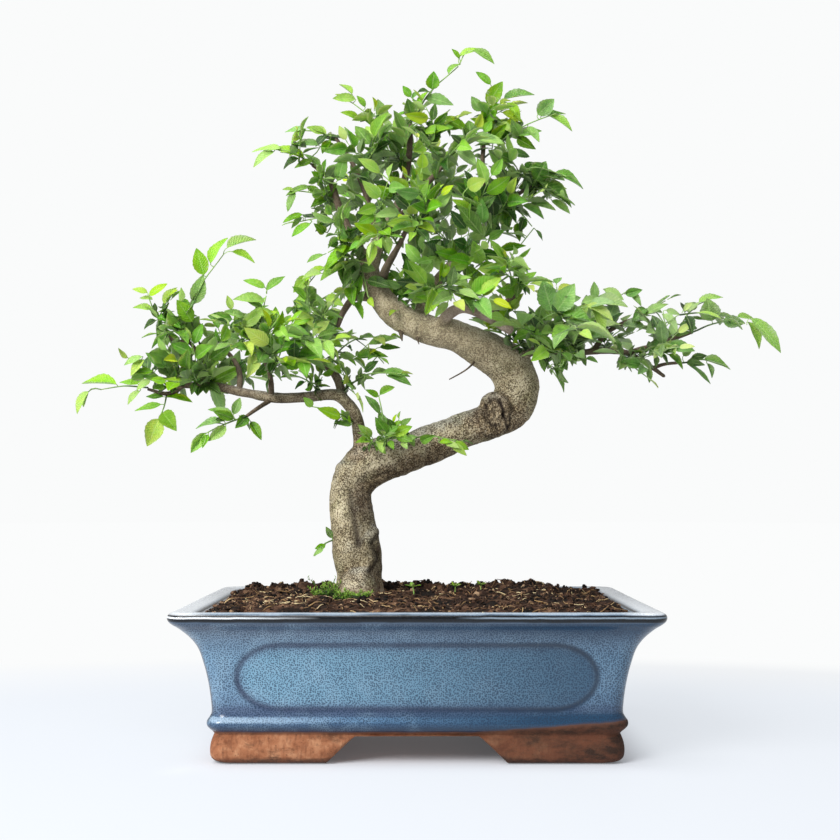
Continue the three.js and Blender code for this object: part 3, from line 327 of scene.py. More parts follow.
# Leaves that are listed one by one: base x, y, z, tip x, y, z, width seen from the front, youth
SET_LEAVES = {
    "left_tall_shoot": [
        (-129, -4, 276, -133, -8, 292, 10, 0.45), (-135, -1, 259, -129, -6, 276, 10, 0.4),
        (-125, -4, 283, -116, -6, 300, 6, 0.75), (-115, -6, 292, -98, -2, 301, 6, 0.75),
        (-112, -6, 290, -97, -9, 284, 4, 0.7), (-136, -2, 248, -144, -10, 260, 10, 0.3),
    ],
    "left_corner_shoot": [
        (-165, 6, 267, -174, 4, 270, 4, 0.85), (-164, 6, 265, -153, 4, 273, 5, 0.7),
        (-155, 6, 260, -147, 2, 270, 5, 0.9), (-162, 7, 257, -173, 2, 258, 4, 0.85),
        (-162, 7, 263, -171, 9, 265, 3, 0.75), (-159, 8, 253, -142, 0, 244, 7, 0.4),
    ],
    "left_end_shoot": [
        (-166, -2, 227, -176, -8, 223, 4, 0.75), (-165, -2, 225, -172, -8, 215, 5, 0.85),
        (-153, 4, 221, -163, -4, 229, 7, 0.3), (-160, 0, 218, -171, -6, 218, 4, 0.5),
        (-157, 8, 214, -166, 0, 215, 5, 0.4),
    ],
    "left_tip_shoot": [
        (-187, 23, 212, -210, 25, 215, 5, 0.85), (-173, 21, 212, -186, 24, 214, 4, 0.6),
        (-205, 25, 208, -213, 20, 195, 5, 0.9), (-205, 25, 208, -210, 28, 198, 4, 0.85),
        (-172, 21, 208, -179, 15, 200, 4, 0.8),
    ],
    "left_hanging_shoot": [
        (-157, 13, 199, -173, 9, 195, 4, 0.6), (-155, 17, 204, -138, 12, 203, 4, 0.5),
        (-157, 18, 204, -169, 22, 205, 4, 0.4), (-158, 10, 190, -164, 6, 173, 12, 0.9),
        (-156, 12, 194, -147, 7, 183, 11, 0.6),
    ],
    "left_under_shoot": [
        (-114, -16, 187, -131, -20, 186, 4, 0.35), (-109, -14, 190, -123, -19, 195, 5, 0.35),
        (-113, -16, 184, -123, -20, 175, 7, 0.6), (-125, -18, 180, -133, -20, 168, 7, 0.7),
        (-123, -18, 179, -126, -22, 171, 4, 0.5), (-109, -14, 191, -105, -12, 202, 6, 0.35),
        (-101, -12, 190, -107, -18, 183, 7, 0.2), (-99, -12, 187, -92, -14, 176, 6, 0.35),
        (-110, -14, 189, -118, -20, 189, 4, 0.15),
    ],
    "left_young_shoot": [
        (-90, -20, 266, -101, -26, 271, 5, 0.5), (-89, -20, 264, -79, -16, 275, 5, 0.45),
        (-90, -21, 257, -107, -28, 261, 6, 0.45), (-91, -22, 253, -100, -26, 258, 4, 0.4),
    ],
    "left_bright_shoot": [
        (-88, -24, 227, -68, -36, 233, 8, 0.45), (-104, -26, 238, -105, -36, 246, 6, 0.8),
        (-85, -24, 250, -100, -32, 248, 6, 0.55), (-102, -24, 248, -113, -28, 251, 5, 0.45),
    ],
    "left_upper_shoot": [
        (-56, 12, 283, -73, 8, 275, 4, 0.7), (-68, 12, 278, -75, 6, 268, 8, 0.8),
        (-71, 13, 267, -72, 7, 255, 6, 0.85), (-57, 10, 249, -71, 2, 251, 9, 0.9),
        (-55, 10, 256, -64, 2, 240, 7, 0.9),
    ],
    "left_right_shoot": [
        (-20, -16, 216, -4, -19, 216, 5, 0.2), (-18, -17, 214, -3, -22, 210, 5, 0.25),
        (-27, -15, 214, -17, -12, 219, 4, 0.3),
    ],
    "left_inner_shoot": [
        (-30, 5, 235, -12, 0, 239, 5, 0.35), (-23, 4, 233, -10, 8, 234, 4, 0.3),
        (-37, 5, 227, -18, 0, 229, 6, 0.25), (-32, 2, 218, -24, -6, 224, 5, 0.2),
    ],
    "fork_left_shoot": [
        (-61, -26, 195, -66, -30, 200, 5, 0.55), (-40, -14, 185, -45, -16, 194, 5, 0.6),
        (-45, -20, 189, -58, -28, 194, 7, 0.55), (-39, -14, 185, -49, -20, 186, 4, 0.45),
    ],
    "fork_cluster": [
        (-27, -14, 178, -34, -22, 184, 6, 0.75), (-18, -24, 179, -24, -30, 188, 8, 0.35),
        (-14, -28, 179, -3, -32, 183, 7, 0.75), (-22, -22, 176, -20, -32, 168, 6, 0.75),
        (-27, -16, 176, -35, -26, 175, 5, 0.7), (-12, -28, 177, -3, -34, 175, 5, 0.5),
        (-19, -22, 178, -11, -34, 183, 6, 0.3),
        (-22, -22, 191, -29, -24, 203, 5, 0.35), (-23, -22, 201, -30, -26, 205, 4, 0.4),
        (-22, -22, 202, -13, -18, 209, 5, 0.55),
    ],
    "fork_runner": [
        (2, -22, 175, 10, -28, 178, 6, 0.3), (20, -25, 173, 29, -28, 167, 5, 0.8),
        (21, -25, 174, 31, -24, 170, 5, 0.85), (13, -24, 174, 20, -28, 175, 3, 0.75),
        (16, -24, 174, 24, -30, 172, 4, 0.8),
    ],
    "trunk_sprout": [
        (-50, -14, 118, -54, -14, 125, 4, 0.35), (-54, -16, 114, -60, -18, 112, 4, 0.4),
        (-55, -18, 112, -61, -20, 108, 3, 0.5),
    ],
    "right_tip_shoot": [
        (174, -20, 246, 170, -26, 258, 13, 0.35), (180, -22, 246, 192, -26, 244, 8, 0.35),
        (188, -23, 248, 202, -20, 248, 4, 0.5), (196, -24, 247, 215, -30, 229, 8, 0.75),
        (194, -24, 245, 201, -28, 229, 5, 0.75),
    ],
    "right_tip_upper_shoot": [
        (168, -12, 258, 184, -8, 265, 5, 0.55), (167, -12, 257, 158, -16, 253, 5, 0.45),
        (162, -13, 249, 171, -16, 248, 2, 0.4),
    ],
    "right_low_tip_shoot": [
        (173, 0, 225, 192, 4, 222, 4, 0.4), (175, 0, 223, 178, -4, 214, 3, 0.4),
        (163, -3, 222, 178, -6, 212, 3, 0.45), (162, -3, 223, 172, -8, 222, 5, 0.2),
        (160, -4, 227, 165, -8, 233, 5, 0.3), (165, -3, 226, 174, -6, 227, 5, 0.2),
    ],
    "right_under_shoot": [
        (132, -18, 220, 118, -24, 222, 7, 0.4), (134, -19, 219, 129, -26, 214, 6, 0.35),
        (136, -20, 218, 136, -24, 209, 4, 0.4), (149, -14, 227, 157, -20, 218, 4, 0.3),
    ],
    "right_high_shoot": [
        (109, 8, 263, 108, 6, 274, 6, 0.4), (108, 8, 262, 128, 0, 258, 7, 0.5),
        (115, 10, 270, 126, 4, 263, 6, 0.5), (128, 12, 267, 138, 8, 269, 6, 0.4),
        (131, 12, 267, 138, 8, 260, 4, 0.5),
    ],
    "right_middle_shoot": [
        (145, -20, 250, 153, -28, 240, 5, 0.75), (137, -4, 252, 150, -8, 260, 5, 0.4),
        (138, -2, 256, 129, -10, 249, 6, 0.3), (149, -10, 254, 156, -14, 251, 4, 0.5),
        (146, -18, 236, 136, -26, 226, 8, 0.2), (148, -20, 234, 150, -30, 225, 6, 0.95),
        (148, -20, 232, 137, -32, 224, 6, 0.8), (155, -18, 244, 168, -14, 243, 6, 0.25),
        (151, -18, 239, 160, -24, 239, 5, 0.3),
    ],
    "right_great_shoot": [
        (78, -32, 250, 73, -30, 270, 13, 0.35), (81, -36, 250, 90, -44, 264, 13, 0.45),
        (80, -34, 249, 101, -44, 244, 7, 0.35), (97, -42, 252, 112, -48, 243, 6, 0.7),
        (100, -42, 251, 107, -50, 235, 6, 0.75), (95, -40, 254, 108, -36, 258, 6, 0.5),
    ],
    "right_drooping_shoot": [
        (80, -14, 220, 89, -18, 205, 3, 0.45), (81, -14, 221, 88, -12, 214, 3, 0.4),
        (85, -12, 226, 88, -18, 218, 7, 0.4), (101, -8, 225, 107, -14, 223, 3, 0.4),
        (73, -12, 225, 76, -16, 217, 4, 0.3),
    ],
    "crown_top_shoot": [
        (26, 4, 413, 39, 6, 423, 4, 0.65), (26, 4, 412, 22, 0, 417, 3, 0.65),
        (34, 4, 417, 48, 0, 410, 5, 0.45), (19, 3, 402, 26, 6, 412, 4, 0.6),
        (9, 2, 392, 10, -4, 401, 9, 0.4), (5, 2, 387, 22, -4, 382, 7, 0.25),
        (-4, 1, 387, -9, -2, 393, 5, 0.4), (-3, 1, 386, 1, 4, 392, 3, 0.4),
        (-3, 0, 374, -6, -8, 383, 9, 0.3), (4, 0, 364, 20, -6, 366, 5, 0.55),
        (0, 0, 371, 4, -6, 375, 5, 0.35),
    ],
    "crown_top_left_shoot": [
        (-32, 2, 381, -37, 0, 388, 4, 0.5), (-38, 2, 386, -52, 0, 386, 6, 0.7),
        (-40, 2, 389, -48, 5, 397, 3, 0.65), (-36, 2, 374, -45, -6, 377, 4, 0.45),
        (-28, 2, 378, -34, -6, 370, 7, 0.3), (-20, 2, 373, -24, -6, 383, 8, 0.4),
        (-8, 1, 364, -14, -8, 376, 7, 0.3), (-24, 2, 368, -31, -8, 371, 5, 0.6),
    ],
    "crown_left_high_shoot": [
        (-57, 4, 365, -68, 2, 369, 5, 0.45), (-69, 4, 368, -82, 6, 367, 3, 0.65),
        (-70, 4, 367, -78, 0, 359, 4, 0.7), (-49, 4, 355, -59, -4, 355, 4, 0.4),
        (-54, 4, 361, -58, -4, 351, 5, 0.3),
    ],
    "crown_left_long_shoot": [
        (-68, -12, 346, -86, -14, 355, 6, 0.65), (-82, -14, 351, -101, -10, 353, 4, 0.7),
        (-86, -14, 349, -99, -18, 341, 5, 0.65), (-59, -10, 341, -68, -6, 353, 5, 0.35),
        (-60, -8, 355, -72, -14, 355, 4, 0.45), (-63, -10, 345, -74, -14, 340, 4, 0.4),
    ],
    "crown_left_middle_shoot": [
        (-66, 0, 331, -81, -2, 328, 4, 0.4), (-75, 0, 328, -79, -4, 315, 5, 0.4),
        (-70, 0, 314, -82, -4, 310, 4, 0.35), (-70, 0, 312, -79, 4, 307, 4, 0.4),
        (-65, -2, 308, -76, -6, 299, 5, 0.4), (-56, -4, 302, -61, -12, 305, 6, 0.35),
        (-48, -10, 332, -43, -16, 347, 8, 0.45), (-58, -6, 335, -63, -12, 337, 5, 0.6),
    ],
    "crown_left_front_shoot": [
        (-31, -16, 293, -48, -30, 296, 5, 0.6), (-37, -20, 289, -55, -34, 279, 6, 0.65),
        (-38, -16, 281, -57, -32, 270, 5, 0.5), (-43, -24, 280, -52, -28, 276, 5, 0.4),
        (-38, -14, 258, -31, -20, 249, 4, 0.45),
    ],
    "crown_top_right_shoot": [
        (45, 2, 395, 36, 0, 403, 5, 0.4), (43, 3, 383, 52, -4, 395, 10, 0.4),
        (39, 4, 379, 33, 0, 387, 7, 0.35), (41, 4, 374, 49, -4, 381, 10, 0.5),
        (31, 5, 367, 15, -2, 375, 6, 0.35), (53, 3, 386, 73, 8, 393, 5, 0.45),
        (55, 3, 384, 64, -2, 373, 5, 0.65), (43, 4, 368, 33, -6, 372, 5, 0.55),
        (46, 4, 362, 54, -6, 368, 7, 0.3),
    ],
    "crown_right_high_shoot": [
        (73, -5, 374, 83, -8, 383, 10, 0.5), (75, -5, 373, 91, -2, 377, 3, 0.35),
        (80, -6, 373, 95, -8, 365, 4, 0.6), (61, -3, 362, 75, -8, 365, 5, 0.3),
        (62, -3, 362, 57, -10, 369, 8, 0.3), (61, 0, 361, 71, -6, 353, 7, 0.25),
        (57, 0, 352, 71, 6, 353, 6, 0.3), (67, -4, 367, 74, -10, 357, 5, 0.4),
    ],
    "crown_right_middle_shoot": [
        (82, -6, 337, 103, -4, 333, 5, 0.45), (72, -4, 334, 77, -12, 343, 11, 0.2),
        (73, -4, 334, 95, -12, 321, 7, 0.3), (82, 2, 323, 93, -4, 315, 5, 0.45),
        (64, 2, 320, 77, -4, 311, 5, 0.35), (61, 2, 309, 62, -2, 297, 6, 0.45),
        (49, -10, 290, 65, -14, 293, 5, 0.35), (58, -16, 276, 67, -20, 278, 4, 0.4),
        (69, 2, 323, 84, -6, 317, 5, 0.3),
    ],
    "crown_front_right_shoot": [
        (37, -38, 294, 23, -44, 310, 9, 0.15), (38, -36, 301, 37, -46, 312, 8, 0.4),
        (34, -38, 309, 45, -44, 315, 8, 0.3), (31, -36, 307, 22, -46, 313, 6, 0.55),
    ],
    "crown_low_right_shoot": [
        (37, -32, 278, 32, -40, 290, 9, 0.55), (55, -32, 274, 42, -40, 291, 6, 0.75),
        (38, -30, 266, 30, -40, 275, 7, 0.2), (40, -30, 265, 47, -40, 275, 9, 0.55),
        (57, -28, 264, 68, -36, 273, 7, 0.6), (53, -26, 262, 62, -34, 266, 5, 0.6),
    ],
    "crown_front_middle_shoot": [
        (3, -60, 327, 3, -68, 334, 7, 0.9), (-1, -56, 294, -15, -68, 295, 8, 0.95),
        (-3, -56, 302, -2, -66, 306, 7, 0.9), (11, -64, 305, 19, -72, 311, 7, 0.45),
        (7, -60, 302, -5, -70, 307, 7, 0.5),
    ],
    "crown_front_left_shoot": [
        (-21, -58, 325, -32, -66, 332, 6, 0.85), (-14, -60, 311, -25, -68, 315, 7, 0.5),
        (-11, -58, 302, -23, -66, 300, 6, 0.6), (-23, -62, 305, -33, -68, 300, 7, 0.45),
    ],
    "crown_front_low_shoot": [
        (29, -44, 320, 38, -54, 322, 9, 0.85), (31, -36, 278, 18, -48, 279, 7, 0.5),
        (24, -34, 281, 13, -46, 283, 7, 0.55),
    ],
    "crown_low_bright_shoot": [
        (7, -26, 263, -3, -40, 254, 10, 0.8), (18, -26, 256, 10, -30, 248, 5, 0.8),
        (13, -34, 269, 31, -46, 264, 7, 0.75), (10, -28, 267, 0, -44, 269, 8, 0.7),
        (20, -40, 262, 32, -48, 257, 7, 0.7), (6, -24, 258, -5, -36, 258, 6, 0.75),
    ],
}

# The middle of each pad of leaves. Leaves face up and away from it.
PAD_CENTRES = {"left": [-112, 6, 214], "right": [112, 2, 222], "crown": [4, 14, 296], "fork": [-22, 4, 168],
               "trunk": [-40, -4, 112]}
# The middle, the size and the strength of the shade inside a pad
CROWN_SHADE = [[0, 8, 16], [62, 60, 42], 1.25]
SIDE_SHADE = [[0, 24, 18], [70, 54, 60], 0.3]
MOSS_SPRIGS = 44
MOSS_LEAVES = 15
# Moss: node, middle, size in x, y and z. Seedlings: node, place
MOSS_TUFTS = [
    ["moss_tuft_left", [-52, -22], [8, 7, 10]],
    ["moss_tuft_front", [-37, -42], [11, 8, 5.5]],
]
SEEDLINGS = [
    ["seedling_left", [-2, -30]],
    ["seedling_right", [22, -24]],
    ["seedling_back", [38, 4]],
]

# The camera's tilt is in degrees from straight down. Lamps: place, diameter, share of the key light's power
CAMERA_PLACE = [1.6, -778, 144]
CAMERA_TILT = 93.28
LAMPS = {"key": [[-850, -1050, 900], 800, 1], "top": [[-350, -350, 1500], 900, 0.55]}
LAMP_TARGET = [0, 0, 200]
FLOOR_RADIUS = 6000


# Colour and node tools

SMOOTH = {"interpolation_type": "SMOOTHSTEP"}


def linear(colour):
    """An sRGB hex colour as linear red, green, blue and alpha."""
    parts = [int(colour[i:i + 2], 16) / 255 for i in (1, 3, 5)]
    return [c / 12.92 if c <= 0.04045 else ((c + 0.055) / 1.055) ** 2.4 for c in parts] + [1]


def per_mm(size):
    """The texture scale that gives a pattern of this size, in mm, on coordinates in metres."""
    return 1 / (size * MM)


def add_node(tree, kind, *inputs, out=0, stops=(), **settings):
    """Adds a node and gives its output of that number or name. The word after the kind is its operation. The
    inputs go to its sockets in order, or by name where they come as a dictionary: a number is set, a text is
    an sRGB colour, an output is linked, and None leaves a socket alone. The stops are a colour ramp's."""
    kind, _, operation = kind.partition(" ")
    node = tree.nodes.new("ShaderNode" + kind)
    if operation:
        node.operation = operation
    for name, value in settings.items():
        setattr(node, name, value)
    for _ in stops[2:]:
        node.color_ramp.elements.new(1)
    for number, (position, colour) in enumerate(stops):
        node.color_ramp.elements[number].position = position
        node.color_ramp.elements[number].color = linear(colour) if isinstance(colour, str) else colour
    named = inputs and isinstance(inputs[0], dict)
    for socket, value in inputs[0].items() if named else enumerate(inputs):
        if isinstance(value, bpy.types.NodeSocket):
            tree.links.new(value, node.inputs[socket])
        elif value is not None:
            node.inputs[socket].default_value = linear(value) if isinstance(value, str) else value
    return node.outputs[out] if node.outputs else None


def new_material(name):
    """An empty material, an add_node for its tree, and its object coordinates."""
    material = bpy.data.materials.new(name)
    material.use_nodes = True
    material.node_tree.nodes.clear()
    node = partial(add_node, material.node_tree)
    return material, node, node("TexCoord", out="Object")


# Mesh tools

def unit(vectors):
    """The vectors over their lengths."""
    return vectors / np.maximum(np.linalg.norm(vectors, axis=-1, keepdims=True), 1e-9)


def across_to(vectors, axes):
    """What is left of the vectors, to unit length, when their share along the unit axes is taken off."""
    return unit(vectors - axes * (vectors * axes).sum(-1, keepdims=True))


def smoothstep(value, low, high):
    """From 0 at low to 1 at high by the cubic 3 s² - 2 s³."""
    share = np.clip((value - low) / (high - low), 0, 1)
    return share * share * (3 - 2 * share)


def lattice_noise(points, size, seed):
    """Smooth noise from -1 to 1: random numbers on a lattice of this size, blended with smoothstep weights."""
    table = np.random.default_rng(seed).uniform(-1, 1, 8192)
    primes = np.array([73856093, 19349663, 83492791])
    cell = np.floor(points / size).astype(np.int64)
    share = points / size - cell
    share = share * share * (3 - 2 * share)
    total = 0
    for offset in np.ndindex(2, 2, 2):
        weight = np.prod(np.where(offset, share, 1 - share), axis=-1)
        code = np.bitwise_xor.reduce((cell + offset) * primes, axis=-1)
        total = total + weight * table[code % 8192]
    return total


def layered_noise(points, *layers):
    """Layers of lattice noise added together: [height, size, seed]."""
    return sum(height * lattice_noise(points, size, seed) for height, size, seed in layers)


def drift(points, size, seed):
    """Smooth noise in all three directions."""
    return np.stack([lattice_noise(points, size, seed + axis) for axis in range(3)], -1)


def turned_out(shell):
    """The shell with its faces turned outwards, which is where its signed volume is positive."""
    points, quads, tris = shell["points"], shell["quads"], shell["tris"]
    corners = np.concatenate([quads[:, [0, 1, 2]], quads[:, [0, 2, 3]], tris])
    a, b, c = (points[corners[:, i]] for i in range(3))
    if (a * np.cross(b, c)).sum() < 0:
        shell["quads"], shell["tris"] = quads[:, ::-1], tris[:, ::-1]
    return shell


def ring_faces(rows, columns):
    """Faces of a closed stack of rings: quads between neighbours, and a fan to a point past each end. The two
    end points come after the rings' own."""
    row = np.arange(rows - 1)[:, None] * columns
    column = np.arange(columns)[None]
    beside = (column + 1) % columns
    quads = np.stack([row + column, row + beside, row + columns + beside, row + columns + column], -1)
    first, last = rows * columns, rows * columns + 1
    end = (rows - 1) * columns
    tris = np.concatenate([np.stack([np.full(columns, first), beside[0], column[0]], -1),
                           np.stack([np.full(columns, last), end + column[0], end + beside[0]], -1)])
    return quads.reshape(-1, 4), tris


def ring_shell(rings, ends, **values):
    """A closed shell from rings of points (rows, columns, 3) and its two end points."""
    rows, columns = rings.shape[:2]
    quads, tris = ring_faces(rows, columns)
    points = np.concatenate([rings.reshape(-1, 3), ends])
    return turned_out({"points": points, "quads": quads, "tris": tris, "values": values})


def repeated_shell(points, quads, tris, **values):
    """Many shells with the same faces, from points (shells, points, 3). A value has one number a shell, or one
    a point."""
    count, size = points.shape[:2]
    shift = np.arange(count)[:, None, None] * size
    spread = {name: np.broadcast_to(value if np.ndim(value) == 2 else np.reshape(value, (-1, 1)),
                                    (count, size)).ravel() for name, value in values.items()}
    return turned_out({
        "points": points.reshape(-1, 3), "quads": (quads[None] + shift).reshape(-1, 4),
        "tris": (tris[None] + shift).reshape(-1, 3), "values": spread})


def merged(shells):
    """Shells put one after another. A value that a shell hasn't got is 0 there."""
    sizes = [len(shell["points"]) for shell in shells]
    starts = np.cumsum([0] + sizes[:-1])
    names = sorted({name for shell in shells for name in shell["values"]})
    return {
        "points": np.concatenate([shell["points"] for shell in shells]),
        "quads": np.concatenate([shell["quads"] + start for shell, start in zip(shells, starts)]),
        "tris": np.concatenate([shell["tris"] + start for shell, start in zip(shells, starts)]),
        "values": {name: np.concatenate([
            np.broadcast_to(shell["values"].get(name, 0), size) for shell, size in zip(shells, sizes)])
            for name in names},
    }


def put_mesh(name, shell):
    """The shell as a Blender object. Values "u" and "v" become its UV map, "skin" its material numbers, and the
    rest attributes."""
    mesh = bpy.data.meshes.new(name)
    quads, tris = shell["quads"], shell["tris"]
    corners = np.concatenate([quads.ravel(), tris.ravel()]).astype(np.int32)
    starts = np.concatenate([np.arange(len(quads)) * 4, len(quads) * 4 + np.arange(len(tris)) * 3])
    mesh.vertices.add(len(shell["points"]))
    mesh.vertices.foreach_set("co", (shell["points"] * MM).astype(np.float32).ravel())
    mesh.loops.add(len(corners))
    mesh.loops.foreach_set("vertex_index", corners)
    mesh.polygons.add(len(starts))
    mesh.polygons.foreach_set("loop_start", starts.astype(np.int32))
    mesh.update(calc_edges=True)
    mesh.polygons.foreach_set("use_smooth", np.ones(len(starts), bool))
    put_values(mesh, shell["values"], corners, starts)
    piece = bpy.data.objects.new(name, mesh)
    bpy.context.scene.collection.objects.link(piece)
    return piece


def put_values(mesh, values, corners, starts):
    """The values of a shell's points as the mesh's UV map, material numbers and attributes."""
    values = dict(values)
    if "u" in values:
        place = np.stack([values.pop("u")[corners], values.pop("v")[corners]], -1)
        mesh.uv_layers.new(name="UVMap").data.foreach_set("uv", place.astype(np.float32).ravel())
    if "skin" in values:
        skin = values.pop("skin")[corners[starts]]
        mesh.polygons.foreach_set("material_index", skin.astype(np.int32))
    for name, value in values.items():
        attribute = mesh.attributes.new(name, "FLOAT", "POINT")
        attribute.data.foreach_set("value", np.asarray(value, np.float32))


def finish_piece(piece, slot, nodes, *materials, sharp=None):
    """Gives the piece its materials and its body, and hides the imported parts of the nodes that it stands for. The
    slot is not used.
    """
    piece.data.materials.clear()
    for material in materials:
        piece.data.materials.append(material)
    if sharp:
        piece.data.set_sharp_from_angle(angle=math.radians(sharp))
    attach(piece, BODY)
    if nodes:
        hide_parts(*nodes)
    return piece


def apply_modifiers(piece):
    """Gives the piece the mesh that its modifiers make, in place of them."""
    graph = bpy.context.evaluated_depsgraph_get()
    mesh = bpy.data.meshes.new_from_object(piece.evaluated_get(graph))
    old = piece.data
    piece.modifiers.clear()
    piece.data = mesh
    bpy.data.meshes.remove(old)


def read_points(mesh, what="co"):
    """The places or the normals of a mesh's points."""
    values = np.zeros(len(mesh.vertices) * 3, np.float32)
    mesh.vertices.foreach_get(what, values)
    return values.reshape(-1, 3).astype(float)


def smooth_path(points, spacing):
    """Points [x, y, z, radius] joined by cubic Hermite pieces, with central differences as slopes, and sampled
    evenly by chord length."""
    points = np.asarray(points, float)
    steps = np.linalg.norm(np.diff(points[:, :3], axis=0), axis=1)
    along = np.concatenate([[0], np.cumsum(steps)])
    slopes = np.gradient(points, along, axis=0)
    places = np.linspace(0, along[-1], max(round(along[-1] / spacing), 1) + 1)
    span = np.clip(np.searchsorted(along, places, side="right") - 1, 0, len(steps) - 1)
    length = steps[span][:, None]
    t = (places - along[span])[:, None] / length
    return ((2 * t**3 - 3 * t**2 + 1) * points[span] + (t**3 - 2 * t**2 + t) * length * slopes[span]
            + (3 * t**2 - 2 * t**3) * points[span + 1] + (t**3 - t**2) * length * slopes[span + 1])


def tube(samples, sides, blunt=0.5, **values):
    """A tube round samples [x, y, z, radius]: centre + radius (cos a across + sin a up), where across is square
    to the path and to a fixed axis. Its ends are blunt points."""
    centre, radius = samples[:, :3], samples[:, 3]
    along = unit(np.gradient(centre, axis=0))
    fixed = np.eye(3)[np.abs(along).max(0).argmin()]
    across = unit(np.cross(along, fixed))
    up = np.cross(across, along)
    turn = np.arange(sides) * 2 * np.pi / sides
    circle = np.cos(turn)[None, :, None] * across[:, None] + np.sin(turn)[None, :, None] * up[:, None]
    rings = centre[:, None] + radius[:, None, None] * circle
    ends = centre[[0, -1]] + along[[0, -1]] * radius[[0, -1], None] * [[-blunt], [blunt]]
    return ring_shell(rings, ends, **values)


def thin_tubes(centre, radius, fixed, before, after, **values):
    """Many three-sided tubes at once, from their middle lines (tubes, points, 3): centre + radius (cos a across +
    sin a up), where across is square to the path and to a fixed direction. Each end is a point, this far
    before the first ring or after the last."""
    along = unit(np.gradient(centre, axis=1))
    across = unit(np.cross(along, fixed))
    up = np.cross(across, along)
    angle = np.arange(3) * 2 * np.pi / 3
    circle = np.cos(angle)[:, None] * across[:, :, None] + np.sin(angle)[:, None] * up[:, :, None]
    rings = (centre[:, :, None] + radius * circle).reshape(len(centre), -1, 3)
    points = np.concatenate([rings, centre[:, :1] - along[:, :1] * before, centre[:, -1:] + along[:, -1:] * after], 1)
    return repeated_shell(points, *ring_faces(centre.shape[1], 3), **values)


# The pot

def pot_outline():
    """The columns of the pot, counter-clockwise from the front left: their share of the way from the middle to
    the corners' centres, and the direction in which their corner's arc stands out from there."""
    long_side, short_side = (np.linspace(-1, 1, count + 1)[:-1] for count in POT_COLUMNS[:2])
    arc = np.linspace(0, np.pi / 2, POT_COLUMNS[2] + 1)[:-1]
    shares, outs = [], []
    for quarter, side in enumerate([long_side, short_side, long_side, short_side]):
        turn = quarter * np.pi / 2
        cos, sin = round(math.cos(turn)), round(math.sin(turn))
        ahead, out = np.array([cos, sin]), np.array([sin, -cos])
        shares += [side[:, None] * ahead + out, np.tile(ahead + out, (len(arc), 1))]
        outs += [np.tile(out, (len(side), 1)), np.cos(arc)[:, None] * out + np.sin(arc)[:, None] * ahead]
    return np.concatenate(shares), np.concatenate(outs)


def foot_cut(x, y):
    """Height of the underside's edge: 0 under a foot, and up its slanted end to the gap between the feet."""
    gap = np.maximum(np.interp(np.abs(x), FOOT_ENDS_X, [1, 0]), np.interp(np.abs(y), FOOT_ENDS_Y, [1, 0]))
    return GAP_HEIGHT * gap


def panel_distance(along, height, straight):
    """Distance in mm outside the oval outline of a panel, negative inside: the ellipse's implicit value over
    the length of its slope."""
    ex = np.maximum(np.abs(along) - straight, 0) / PANEL_END
    ez = (height - PANEL_CENTRE) / PANEL_HALF_HEIGHT
    q = np.sqrt(ex**2 + ez**2)
    slope = np.sqrt((ex / PANEL_END)**2 + (ez / PANEL_HALF_HEIGHT)**2) + 1e-6
    return np.clip((q - 1) * q / slope, -PANEL_REACH, PANEL_REACH)


def profile_rows(profile, spacing):
    """A profile [height, inset], smoothed and sampled."""
    flat = [[inset, 0, height, 0] for height, inset in profile]
    return smooth_path(flat, spacing)[:, [2, 0]]


